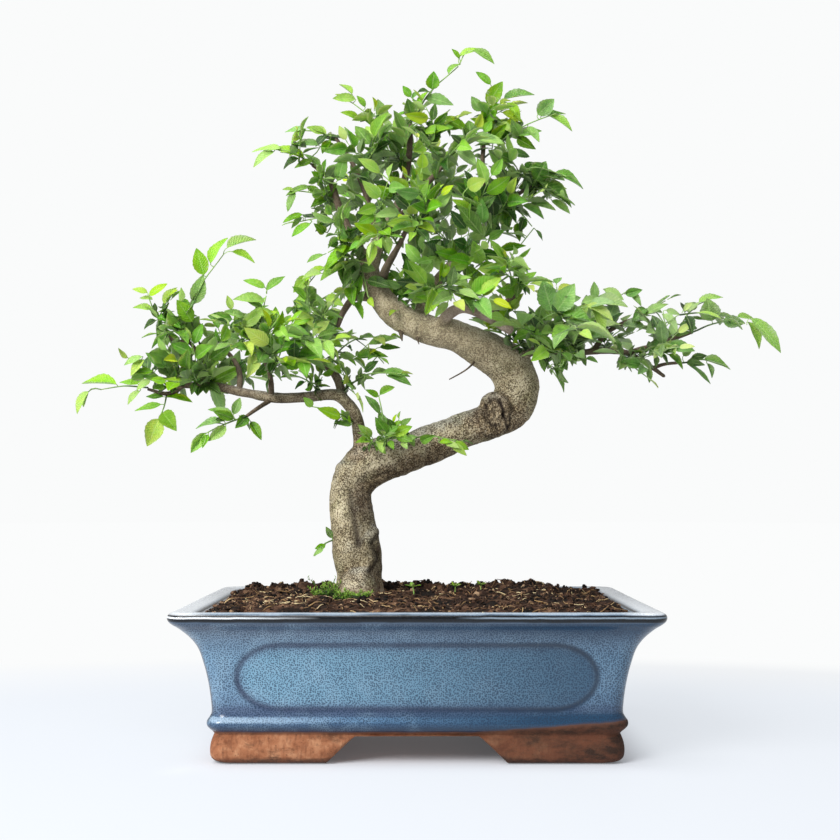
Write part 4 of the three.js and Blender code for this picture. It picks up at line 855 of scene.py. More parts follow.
def pot_shell(settings):
    """One closed profile, from the floor over the rim and down to the underside, carried round a rounded
    rectangle: point = share (half size - corner) + out · corner. The panels are sunk along the wall's own
    direction, and the rows of the feet stop at the slanted ends."""
    share, out = pot_outline()
    inner = profile_rows(INNER_WALL, POT_ROW_SPACING["inner"])
    outer = profile_rows(RIM_AND_WALL, POT_ROW_SPACING["outer"])
    foot = profile_rows(FOOT_SIDE, POT_ROW_SPACING["foot"])
    profile = np.concatenate([[[FLOOR_HEIGHT, FLOOR_INSET]], inner[:-1], outer, foot[1:], FOOT_SOLE])
    height, inset = profile.T
    rise = np.append(0, np.cumsum(np.linalg.norm(np.diff(profile, axis=0), axis=1)))
    rim_start, foot_start = len(inner), len(inner) + len(outer)
    is_outer = np.arange(len(height)) >= rim_start

    half = np.stack([RIM_LENGTH / 2 - inset, RIM_DEPTH / 2 - inset], -1)[:, None]
    flat = share[None] * (half - CORNER_RADIUS) + out[None] * CORNER_RADIUS
    z = np.broadcast_to(height[:, None], flat.shape[:2]).copy()
    distance = np.full(z.shape, PANEL_REACH)
    front, side = np.abs(out[:, 1]) > 0.999, np.abs(out[:, 0]) > 0.999
    wall = slice(rim_start + 12, foot_start)
    distance[wall, front] = panel_distance(flat[wall, front, 0], z[wall, front], PANEL_STRAIGHT_FRONT)
    distance[wall, side] = panel_distance(flat[wall, side, 1], z[wall, side], PANEL_STRAIGHT_SIDE)

    points = np.concatenate([flat, z[..., None]], -1)
    wave = layered_noise(points, [0.45, 75, 1], [0.16, 28, 2])
    sink = settings.panel_depth / MM * smoothstep(-distance, -0.6, 3.4)
    groove = settings.groove_depth / MM * np.exp(-(distance / 1.5)**2)
    shift = np.where(is_outer[:, None], wave - sink - groove, 0)
    points[..., :2] += out[None] * shift[..., None]

    cut = foot_cut(flat[..., 0], flat[..., 1])
    is_foot = (np.arange(len(height)) >= foot_start) & (height <= BASE_HEIGHT) & (inset < FOOT_INSIDE + 0.1)
    lifted = cut + (BASE_HEIGHT - cut) * z / BASE_HEIGHT
    points[..., 2] = np.where(is_foot[:, None], lifted, z)

    thin = np.zeros_like(z)
    for at_height, at_inset, width, strength in ARRISES:
        gap = np.hypot(height - at_height, inset - at_inset)
        thin += strength * np.exp(-(gap / width)**2)[:, None]
    # A painted dark reflection down the corners, where they turn away from the front
    angle, width, left, right, low, high = PAINTED_CORNER_REFLECTION
    corner = np.arctan2(np.abs(out[:, 0]), np.abs(out[:, 1])) - math.radians(angle)
    strength = np.where(out[:, 0] < 0, left, right) * np.exp(-(corner / width)**2)
    thin += strength * ((height > low) & (height < high) & is_outer)[:, None]

    values = {"panel": (distance, PANEL_REACH), "thin": (thin, 0), "side": (np.abs(out[:, 0]) > 0.707, 0),
              "rise": (rise[:, None] * MM, 0), "inside": (~is_outer[:, None], 1)}
    return ring_shell(points, np.array([[0, 0, FLOOR_HEIGHT], [0, 0, BASE_HEIGHT]], float), **{
        name: np.append(np.broadcast_to(value, z.shape), [last, last]) for name, (value, last) in values.items()})


def glaze_and_clay():
    """Reactive blue glaze, brushed and fired on stoneware, over bare feet of orange clay. The glaze is a deep
    gloss, pale blue with a fine pepper of navy where it broke in the kiln. It breaks dark along the rim's nose,
    which is also painted with a dark reflection and a highlight, is purple-grey in the groove round a panel, and
    ends above the dry, mottled clay. Painted shade darkens the pot towards its right end, a painted highlight
    lies on the lip, and painted dark reflections run down the corners. Heights and places are in metres."""
    material, node, place = new_material("reactive_glaze_on_stoneware")
    across, back, height = (node("SeparateXYZ", place, out=axis) for axis in "XYZ")
    panel, side, rise, thin, inside = (node("Attribute", out="Fac", attribute_name=name)
                                       for name in ("panel", "side", "rise", "thin", "inside"))
    # Painted shade: the pot is coloured darker towards its right end, away from the light
    painted_shade_right = node("MapRange", across, -0.09, 0.11, 0, 1, **SMOOTH)

    # Bands of blue from the base lip to the rim, lighter on the lip's upper slope: a painted highlight, brightest at
    # the left
    level = node("Math MULTIPLY_ADD", node("TexNoise", place, None, per_mm(30), 3), 0.0016, height)
    low, high = (value * MM for value in BLUE_BANDS)
    colour = node("ValToRGB", node("MapRange", level, low, high), stops=[
        (0.0, "#34465F"), (0.045, "#3F5874"), (0.064, "#5C7F9F"), (0.088, "#5C7F9F"), (0.103, "#4A5C77"),
        (0.16, "#4F627E"), (0.2, "#66829D"), (0.3, "#6D8DA8"), (0.55, "#7193AD"), (0.69, "#738EA6"),
        (0.745, "#6D8398"), (0.78, "#54667B"), (0.85, "#4B5D72"), (1.0, "#A5B2BF")])
    lit = node("Math MULTIPLY", node("MapRange", level, 0.0224, 0.0236), node("MapRange", level, 0.0263, 0.0253))
    lit = node("Math MULTIPLY", lit, node("MapRange", across, -0.03, -0.1, 0, 0.65))
    colour = node("MixRGB", lit, colour, "#AFC4D5")
    colour = node("MixRGB", node("MapRange", panel, 0.5, -7, 0, 0.7, **SMOOTH), colour, "#79A5BC")
    cloud = node("MapRange", node("TexNoise", place, None, per_mm(12), 4), 0.42, 0.75, 0, 0.3, **SMOOTH)
    colour = node("MixRGB", cloud, colour, "#96B4C8")

    # Painted shade towards the right end of the pot, most of all in the panels, under the rim and on the lip
    deep = node("Math MULTIPLY_ADD", node("MapRange", panel, 0.5, -2.5), 0.46,
                node("MapRange", height, 0.064, 0.075, 0.4, 1))
    deep = node("Math ADD", deep, node("MapRange", height, 0.029, 0.025, 0, 0.75))
    colour = node("MixRGB", node("Math MULTIPLY", painted_shade_right, deep), colour, "#20405B")

    # The groove round a panel, darker towards the right end with the painted shade, and the edges where the glaze
    # ran thin, with painted dark reflections down the corners
    waver = node("MapRange", node("TexNoise", place, None, per_mm(26), 8, 0.72), 0.35, 0.6,
                 node("MapRange", painted_shade_right, 0, 1, 0.45, 0.75), 0.85)
    line = node("Math MULTIPLY", node("MapRange", panel, -2.8, -0.2, **SMOOTH),
                node("MapRange", panel, 2.7, 0.3, **SMOOTH))
    colour = node("MixRGB", node("Math MULTIPLY", line, waver), colour, node("MixRGB", painted_shade_right, "#363F58", "#121A28"))
    edges = node("MapRange", node("TexNoise", place, None, per_mm(5), 3), 0.25, 0.65, 0.4, 1)
    colour = node("MixRGB", node("Math MULTIPLY", thin, edges), colour, "#1B212F")

    # The pepper is laid out along the wall and up its profile, and is denser towards the right end of the pot.
    run = node("MapRange", node("Math GREATER_THAN", side, 0.5), 0, 1, across, back)
    pepper = node("TexVoronoi", {"Vector": node("CombineXYZ", run, rise), "Scale": per_mm(PEPPER_SIZE),
                                    "Randomness": 0.8},
                  voronoi_dimensions="2D")
    pepper = node("Math MULTIPLY_ADD", node("TexNoise", place, None, per_mm(7), 5, 0.7), -0.45, pepper)
    pepper = node("Math MULTIPLY_ADD", painted_shade_right, -0.04, pepper)
    pepper = node("MapRange", pepper, 0.25, -0.04, 0, 0.82, **SMOOTH)

    outer = node("Math MULTIPLY", node("MapRange", inside, 1, 0.4), node("MapRange", height, 0.0762, 0.0768))
    colour = node("MixRGB", outer, colour, rim_colour(node, place, across, height))
    # Less pepper on the rim and on the painted highlight of the lip
    fleck = node("MapRange", node("Math ADD", outer, lit), 0, 1, 1, 0.2)
    colour = node("MixRGB", node("Math MULTIPLY", pepper, fleck), colour, "#1D3249")
    colour = node("MixRGB", node("Math MULTIPLY", inside, 0.75), colour, "#2E4766")

    # The glaze ends in a bead over a brown line on the clay, lower at the right end of the pot
    edge = node("Math MULTIPLY_ADD", node("TexNoise", place, None, per_mm(11), 3), 0.0012, height)
    edge = node("Math MULTIPLY_ADD", node("MapRange", across, 0.03, 0.11), -0.0062, edge)
    glazed = node("MapRange", edge, (GLAZE_EDGE + 0.35) * MM, (GLAZE_EDGE + 0.85) * MM, **SMOOTH)
    bead = node("MapRange", edge, (GLAZE_EDGE + 2) * MM, (GLAZE_EDGE + 0.6) * MM, 0, 0.7, **SMOOTH)
    colour = node("MixRGB", bead, colour, "#463A40")
    brown = node("MapRange", edge, (GLAZE_EDGE - 1.2) * MM, (GLAZE_EDGE + 0.3) * MM, 0, 0.7, **SMOOTH)
    clay = node("MixRGB", brown, clay_colour(node, place, height, painted_shade_right), "#573B31")
    colour = node("MixRGB", glazed, clay, colour)

    rough = node("Math MULTIPLY_ADD", pepper, 0.12, node("MapRange", glazed, 0, 1, 0.86, 0.14))
    relief = node("Math MULTIPLY_ADD", node("TexNoise", place, None, per_mm(2.4), 4, 0.6), 0.7,
                  node("Math MULTIPLY", pepper, -0.12))
    normal = node("Bump", {"Height": relief, "Distance": 0.12 * MM})
    node("OutputMaterial", node("BsdfPrincipled", {
        "Base Color": colour, "Roughness": rough, "Normal": normal, "IOR": 1.5, "Specular IOR Level": 0.4}))
    return material


def rim_colour(node, place, across, height):
    """The nose of the rim, from 76 to 82 mm up: near-black, partly where the glaze ran off it and partly a painted
    dark reflection, then the pale top, whiter at the pot's ends as a painted reflection, with faint runs. A
    painted highlight lies along the black, white at the left end of the pot and grey on its right half."""
    nose = node("Math MULTIPLY_ADD", node("TexNoise", place, None, per_mm(9), 3), 0.0006, height)
    wide = node("Math MULTIPLY_ADD", node("TexNoise", place, None, per_mm(34), 2), 0.0014, nose)
    low, high = (value * MM for value in NOSE_BANDS)
    # Near-black on the nose, partly glaze that ran off and partly a painted dark reflection; pale on the top
    colour = node("ValToRGB", node("MapRange", wide, low, high), stops=[
        (0.0, "#4F6176"), (0.1, "#20272F"), (0.2, "#050607"), (0.65, "#060709"), (0.73, "#56697C"),
        (0.8, "#A3B3C2"), (1.0, "#B2C1D0")])
    # Painted reflection: the rim's top is whiter at the pot's ends
    ends = node("MapRange", node("Math ABSOLUTE", across), 0.106, 0.12, 0, 0.85)
    ends = node("Math MULTIPLY", ends, node("MapRange", height, 0.0805, 0.0815))
    colour = node("MixRGB", ends, colour, "#EEF2F5")
    # Painted highlight along the black of the nose, white at the left end of the pot and grey on its right half
    line = node("Math MULTIPLY", node("MapRange", nose, 0.0792, 0.0796), node("MapRange", nose, 0.0804, 0.08))
    shown = node("Math MAXIMUM", node("MapRange", across, -0.05, -0.1), node("MapRange", across, 0.02, 0.04, 0, 0.6))
    colour = node("MixRGB", node("Math MULTIPLY", line, shown), colour,
                  node("MixRGB", node("MapRange", across, -0.02, 0.02), "#E8EEF2", "#9FB1C0"))
    runs = node("TexNoise", node("Mapping", place, None, None, (1, 1, 0.22)), None, per_mm(1.1), 3)
    runs = node("Math MULTIPLY", node("MapRange", runs, 0.5, 0.68, 0, 0.25),
                node("MapRange", wide, 0.0815, 0.082))
    return node("MixRGB", runs, colour, "#4A5A70")


def clay_colour(node, place, height, painted_shade_right):
    """Bare stoneware clay: mottled orange with brush lines, brown smudges and pits, darker along the bottom edge of
    its soles, and darker towards the right end of the pot as painted shade."""
    grain = node("TexNoise", place, None, per_mm(7), 5, 0.65)
    colour = node("ValToRGB", grain, stops=[(0.3, "#774327"), (0.52, "#9D6645"), (0.7, "#B98662")])
    brushed = node("TexNoise", node("Mapping", place, None, None, (1, 1, 0.25)), None, per_mm(1.6), 3)
    colour = node("MixRGB", node("MapRange", brushed, 0.5, 0.66, 0, 0.5), colour, "#6C412B")
    smudge = node("TexNoise", node("Mapping", place, None, None, (1, 1, 2.4)), None, per_mm(15), 5, 0.7)
    colour = node("MixRGB", node("MapRange", smudge, 0.52, 0.68, 0, 0.7, **SMOOTH), colour, "#52321F")
    pits = node("MapRange", node("TexVoronoi", place, None, per_mm(2.6)), 0.2, 0.1, 0, 0.55, **SMOOTH)
    colour = node("MixRGB", pits, colour, "#553524")
    low_sole_dark = node("Math MULTIPLY_ADD", smudge, -0.006, node("Math ADD", height, 0.003))
    low_sole_dark = node("MapRange", low_sole_dark, 0.0044, 0.0022, 0, 0.85, **SMOOTH)
    low_sole_dark = node("Math MULTIPLY", low_sole_dark, node("MapRange", grain, 0.35, 0.55, 0.5, 1))
    colour = node("MixRGB", low_sole_dark, colour, "#3C271E")
    # Painted shade towards the right end of the pot
    dark = node("MixRGB", node("MapRange", smudge, 0.4, 0.6), "#55301F", "#26170F")
    return node("MixRGB", node("Math MULTIPLY", painted_shade_right, 0.95), colour, dark)


def drill_drains(pot):
    """Cuts the two drainage holes through the floor."""
    for side in (-1, 1):
        path = [[side * DRAIN_OFFSET, 0, 8, DRAIN_RADIUS], [side * DRAIN_OFFSET, 0, 26, DRAIN_RADIUS]]
        drill = put_mesh("drill", tube(smooth_path(path, 18), 40))
        cut = pot.modifiers.new("drain", "BOOLEAN")
        cut.operation = "DIFFERENCE"
        cut.solver = "MANIFOLD"
        cut.object = drill
        apply_modifiers(pot)
        bpy.data.objects.remove(drill)


# The soil

def soil_top(x, y):
    """Height of the mounded soil: a profile of the distance from the rim's edge, and a rise round the trunk."""
    inset = np.minimum(RIM_LENGTH / 2 - np.abs(x), RIM_DEPTH / 2 - np.abs(y))
    insets, heights = np.array(SOIL_PROFILE).T
    mound = 1.6 * np.exp(-(np.hypot(x + 34, y + 12) / 20)**2) - 0.9
    return np.interp(inset, insets, heights) + mound * smoothstep(inset, 16, 34)


def soil_relief(x, y):
    """Clods, lumps and grains on the soil, in mm, fading out at the pot's wall."""
    place = np.stack([x, y, np.zeros_like(x)], -1)
    inset = np.minimum(RIM_LENGTH / 2 - np.abs(x), RIM_DEPTH / 2 - np.abs(y))
    relief = layered_noise(place, *SOIL_LUMPS) + 1.1 * np.abs(lattice_noise(place, 4.5, 13))
    clods = smoothstep(layered_noise(place, *SOIL_CLODS), 0.15, 0.7)
    corner = smoothstep(x, 78, 98) * smoothstep(y, 30, 60)
    relief += clods * (0.9 + 2.6 * smoothstep(y, -25, 25)) * (1 - corner) - 3.4 * corner
    return relief * smoothstep(inset, SOIL_EDGE - 1, SOIL_EDGE + 7)


def soil_ground(x, y):
    """Height of the ground with its relief."""
    return soil_top(x, y) + soil_relief(x, y)


def soil_shell():
    """A square grid over the pot's mouth whose corners are rounded by x = u sqrt(1 - v²/2), with the relief as
    its height. Its edge is carried down the inside of the pot in rings and closed by a point."""
    half = np.array([RIM_LENGTH / 2 - SOIL_EDGE, RIM_DEPTH / 2 - SOIL_EDGE])
    x, y = np.meshgrid(*(np.linspace(-1, 1, count) * size for count, size in zip(SOIL_GRID, half)))
    z = soil_ground(x, y)
    over_x = np.clip(np.abs(x) - half[0] + CORNER_RADIUS, 0, None) / CORNER_RADIUS
    over_y = np.clip(np.abs(y) - half[1] + CORNER_RADIUS, 0, None) / CORNER_RADIUS
    x = x - np.sign(x) * over_x * (1 - np.sqrt(1 - over_y**2 / 2)) * CORNER_RADIUS
    y = y - np.sign(y) * over_y * (1 - np.sqrt(1 - over_x**2 / 2)) * CORNER_RADIUS
    top = np.stack([x, y, z], -1)
    rows, columns = x.shape
    number = np.arange(rows * columns).reshape(rows, columns)
    quads = np.stack([number[:-1, :-1], number[:-1, 1:], number[1:, 1:], number[1:, :-1]], -1).reshape(-1, 4)
    edge = np.concatenate([number[0, :-1], number[:-1, -1], number[-1, :0:-1], number[:0:-1, 0]])
    rim = top.reshape(-1, 3)[edge]
    scales = [[(RIM_LENGTH / 2 - inset) / half[0], (RIM_DEPTH / 2 - inset) / half[1]] for _, inset in SOIL_SIDES]
    rings = np.stack([np.concatenate([rim[:, :2] * scale, np.full((len(rim), 1), height)], -1)
                      for (height, _), scale in zip(SOIL_SIDES, scales)])
    count = len(edge)
    numbers = np.concatenate([edge[None], rows * columns + np.arange(len(rings) * count).reshape(-1, count)])
    beside = np.roll(numbers, -1, axis=1)
    sides = np.stack([numbers[:-1], numbers[1:], beside[1:], beside[:-1]], -1).reshape(-1, 4)
    last = rows * columns + len(rings) * count
    fan = np.stack([np.full(count, last), beside[-1], numbers[-1]], -1)
    points = np.concatenate([top.reshape(-1, 3), rings.reshape(-1, 3), [[0, 0, SOIL_SIDES[-1][0]]]])
    shade = lattice_noise(points, 6, 21)
    return turned_out({"points": points, "quads": np.concatenate([quads, sides]), "tris": fan,
                       "values": {"shade": shade}})


def crumb_shape():
    """The twelve corners and twenty faces of an icosahedron."""
    g = (1 + 5**0.5) / 2
    corners = unit(np.array([[-1, g, 0], [1, g, 0], [-1, -g, 0], [1, -g, 0], [0, -1, g], [0, 1, g], [0, -1, -g],
                             [0, 1, -g], [g, 0, -1], [g, 0, 1], [-g, 0, -1], [-g, 0, 1]], float))
    faces = np.array([[0, 11, 5], [0, 5, 1], [0, 1, 7], [0, 7, 10], [0, 10, 11], [1, 5, 9], [5, 11, 4],
                      [11, 10, 2], [10, 7, 6], [7, 1, 8], [3, 9, 4], [3, 4, 2], [3, 2, 6], [3, 6, 8],
                      [3, 8, 9], [4, 9, 5], [2, 4, 11], [6, 2, 10], [8, 6, 7], [9, 8, 1]])
    return corners, faces


def scattered(rng, count, margin):
    """Random places on the soil, at least this far from the edge of the rim."""
    x = rng.uniform(-1, 1, count) * (RIM_LENGTH / 2 - margin)
    y = rng.uniform(-1, 1, count) * (RIM_DEPTH / 2 - margin)
    return x, y


def crumbs_shell(settings):
    """Crumbs of peat: icosahedra, stretched and roughened at random, half sunk in the soil."""
    rng = np.random.default_rng(31)
    count = settings.crumbs
    corners, faces = crumb_shape()
    x, y = scattered(rng, count, CRUMB_MARGIN)
    size = CRUMB_SIZE * np.exp(rng.normal(0, 0.5, count)).clip(0.5, 3.2)
    stretch = rng.uniform(0.6, 1.4, (count, 1, 3)) * size[:, None, None]
    rough = rng.uniform(0.75, 1.25, (count, len(corners), 1))
    turn = rng.uniform(0, 2 * np.pi, count)
    cos, sin = np.cos(turn)[:, None], np.sin(turn)[:, None]
    local = corners[None] * stretch * rough
    local = np.stack([local[..., 0] * cos - local[..., 1] * sin, local[..., 0] * sin + local[..., 1] * cos,
                      local[..., 2] * 0.75], -1)
    centre = np.stack([x, y, soil_ground(x, y) + 0.35 * size], -1)
    return repeated_shell(centre[:, None] + local, np.zeros((0, 4), int), faces,
                          shade=rng.normal(0, 0.62, count))


def fibres_shell(settings):
    """Fibres and straws: three-sided tubes along arcs. A point is the start + length t along the ground, bent
    aside by t² and lifted by t(1 - t) or, on the few that stand up, by t. The first ones are a clump of straw
    at the left."""
    rng = np.random.default_rng(32)
    count = settings.fibres
    x, y = scattered(rng, count, 18)
    straws, *middle_and_spread = STRAW_CLUMP
    clump = np.arange(count) < straws
    x = np.where(clump, rng.normal(*middle_and_spread[:2], count), x)
    y = np.where(clump, rng.normal(*middle_and_spread[2:], count), y)
    length = rng.gamma(2.2, 2.2, count).clip(2.5, 20)
    turn = rng.uniform(0, 2 * np.pi, count)
    bend = rng.normal(0, 0.5, count)
    rise = np.where(rng.uniform(size=count) < 0.05, rng.uniform(0.15, 0.4, count), 0.0)
    t = np.linspace(0, 1, 6)[None]
    forward = np.stack([np.cos(turn), np.sin(turn)], -1)[:, None] * length[:, None, None]
    aside = np.stack([-np.sin(turn), np.cos(turn)], -1)[:, None] * (length * bend)[:, None, None]
    flat = np.stack([x, y], -1)[:, None] + forward * t[..., None] + aside * (t**2)[..., None]
    limit = np.array([RIM_LENGTH, RIM_DEPTH]) / 2 - FIBRE_MARGIN
    flat = np.clip(flat, -limit, limit)
    ground = soil_ground(flat[..., 0], flat[..., 1])
    lift = 0.3 + 0.09 * length[:, None] * t * (1 - t) + (rise * length)[:, None] * t
    centre = np.concatenate([flat, (ground + lift)[..., None]], -1)
    radius = (rng.uniform(0.18, 0.48, count)[:, None] * (1 - 0.5 * t**3))[..., None, None]
    straw = np.where(clump, rng.uniform(0.4, 0.95, count), 0.85 * rng.uniform(size=count)**2.2)
    return thin_tubes(centre, radius, [0, 0, 1.0], 0.1, 0.2, straw=straw)


def damp_peat():
    """Damp milled peat: black-brown crumbs with rust and grey-tan ones between them, rough, without gloss."""
    material, node, place = new_material("damp_peat")
    shade = node("TexNoise", place, None, per_mm(2.6), 6, 0.75)
    shade = node("Math MULTIPLY_ADD", node("Attribute", out="Fac", attribute_name="shade"), 0.4, shade)
    colour = node("ValToRGB", shade, stops=[
        (0.22, "#0C0806"), (0.46, "#20150E"), (0.62, "#3F2B20"), (0.78, "#6B503C"), (1.0, "#A3876A")])
    rusty = node("MapRange", node("TexNoise", place, None, per_mm(8), 3), 0.56, 0.7, 0, 0.4, **SMOOTH)
    colour = node("MixRGB", rusty, colour, "#5D3A22")
    normal = node("Bump", {"Height": node("TexNoise", place, None, per_mm(0.9), 5, 0.7), "Distance": 0.6 * MM})
    shader = node("BsdfPrincipled", {"Base Color": colour, "Normal": normal, "Roughness": 0.95,
                                     "Specular IOR Level": 0.25})
    node("OutputMaterial", shader)
    return material


def dry_fibre():
    """Dry root and straw fibres: from root brown to pale straw, dull, with a fleck along them."""
    material, node, place = new_material("dry_fibre")
    straw = node("Attribute", out="Fac", attribute_name="straw")
    straw = node("Math MULTIPLY_ADD", node("TexNoise", place, None, per_mm(2), 3), 0.3, straw)
    colour = node("ValToRGB", straw, stops=[
        (0.1, "#2E2018"), (0.45, "#5F432E"), (0.8, "#A5855A"), (1.0, "#E0CFA2")])
    shader = node("BsdfPrincipled", {"Base Color": colour, "Roughness": 0.8, "Specular IOR Level": 0.3})
    node("OutputMaterial", shader)
    return material


# The wood

def nearest(points, samples, radius=0, block=4000):
    """Distance from each point to the closest sample, or to the skin at this radius round it, and that sample's
    number."""
    distances, numbers = [], []
    for start in range(0, len(points), block):
        gap = np.linalg.norm(points[start:start + block, None] - samples[None], axis=-1) - radius
        numbers.append(gap.argmin(1))
        distances.append(gap.min(1))
    return np.concatenate(distances), np.concatenate(numbers)


def grown(path, spacing, seed, swell, wander):
    """A wooden path whose thickness swells and shrinks by a share of it, and which wanders by another."""
    samples = smooth_path(path, spacing)
    place = samples[:, :3]
    thick = 1 + swell * layered_noise(place, [1.5, 14, seed], [1, 6, seed + 1])
    free = smoothstep(np.arange(len(samples)), 0, 4)[:, None]
    samples[:, :3] += wander * drift(place, 11, seed + 2) * samples[:, 3:] * free
    samples[:, 3] *= thick
    return samples


def bark_relief(points, girth):
    """Relief of the bark in mm: swellings, ridges drawn out along the trunk and plates, less on thin wood, with
    the scar and the lines in the bark added by the distance from them. Gives the darkness of the lines too."""
    size = np.clip(girth / 11, 0.18, 1)
    relief = size * (layered_noise(points, *BARK_LUMPS) + layered_noise(points * [1, 1, 0.55], BARK_RIDGES))
    ring = np.linalg.norm((points[:, ::2] - KNOT) / KNOT_SIZE, axis=1)
    ring = ring + 0.1 * lattice_noise(points, 5, 45)
    facing = smoothstep(points[:, 1], 6, 1) * (girth > 5)
    relief += facing * (1.5 * np.exp(-((ring - 1) / 0.22)**2) - 1.2 * np.exp(-(ring / 0.62)**2))
    dark = facing * (0.55 * np.exp(-((ring - 0.72) / 0.1)**2) + 0.5 * np.exp(-((ring - 1.28) / 0.09)**2))
    for rise, width, darkness, line in BARK_LINES:
        samples = smooth_path([[*point, 0] for point in line], 1)[:, :3]
        share = np.exp(-(nearest(points, samples)[0] / (width + 4 * (girth < 5)))**2)
        front = np.exp(-(line_gap(points, samples) / width)**2) * facing_front(points, samples)
        share = np.maximum(share, front) * (girth > 5)
        relief += rise * share
        dark += darkness * share
    return relief, np.clip(dark, 0, 1)


def line_gap(points, samples):
    """Distance from each point to a line, seen from the front."""
    return nearest(points[:, ::2], samples[:, ::2])[0]


def facing_front(points, samples):
    """1 on the front of the wood near a line, and 0 behind it."""
    return smoothstep(points[:, 1] - samples[:, 1].mean(), 9, 5)


def wood_piece(settings):
    """Trunk and limbs as tubes grown into one skin by a voxel remesh, smoothed at the crotches and pushed out by
    the relief of the bark. Twigs and roots are tubes set into it."""
    thick = [grown(path, 3, 50 + number, 0.03, 0.04) for number, path in enumerate(TRUNK)]
    thick += [grown(path, 2.5, 60 + number, 0.06, 0.14) for number, path in enumerate(LIMBS + [CUT_BRANCH] + STUBS)]
    trunk = put_mesh("elm_wood", merged([tube(samples, 20) for samples in thick]))
    remesh = trunk.modifiers.new("skin", "REMESH")
    remesh.mode = "VOXEL"
    remesh.voxel_size = settings.voxel
    even = trunk.modifiers.new("even", "SMOOTH")
    even.factor = 0.5
    even.iterations = 6
    apply_modifiers(trunk)

    points, normals = read_points(trunk.data) / MM, read_points(trunk.data, "normal")
    lines = np.concatenate(thick)
    path_number = np.repeat(np.arange(len(thick)), [len(samples) for samples in thick])
    _, at = nearest(points, lines[:, :3], lines[:, 3])
    girth = lines[at, 3]
    cut = (path_number[at] == len(TRUNK) + len(LIMBS)) * 0.8 * smoothstep(points[:, 1], -12, -20)
    relief, dark = bark_relief(points, girth)
    places = np.array(WORN_BARK, float)
    gaps = np.linalg.norm(points[:, None] - places[None, :, :3], axis=-1) / places[:, 3]
    worn = np.exp(-gaps.min(1)**2)
    points += normals * (relief * settings.relief)[:, None]
    skin = mesh_shell(trunk.data, points, girth=girth, dark=dark, cut=cut, worn=worn, top=normals[:, 2])
    bpy.data.objects.remove(trunk)

    thin = [grown(path, 2.2, 80 + number, 0.07, 0.25) for number, path in enumerate(TWIGS)]
    twigs = [tube(samples, 8) for samples in thin]
    for shell, samples in zip(twigs, thin):
        shell["values"]["girth"] = np.append(np.repeat(samples[:, 3], 8), samples[[0, -1], 3])
    roots = [tube(smooth_path(path, 8), 8, girth=2.0) for path in ROOTS]
    return put_mesh("elm_wood", merged([skin] + twigs + roots))


def mesh_shell(mesh, points, **values):
    """A Blender mesh of quads as a shell, with its points in new places."""
    corners = np.zeros(len(mesh.loops), np.int32)
    mesh.loops.foreach_get("vertex_index", corners)
    sizes = np.zeros(len(mesh.polygons), np.int32)
    mesh.polygons.foreach_get("loop_total", sizes)
    if not (sizes == 4).all():
        raise RuntimeError("the remeshed wood has faces that are not quads")
    return {"points": points, "quads": corners.reshape(-1, 4), "tris": np.zeros((0, 3), int), "values": values}


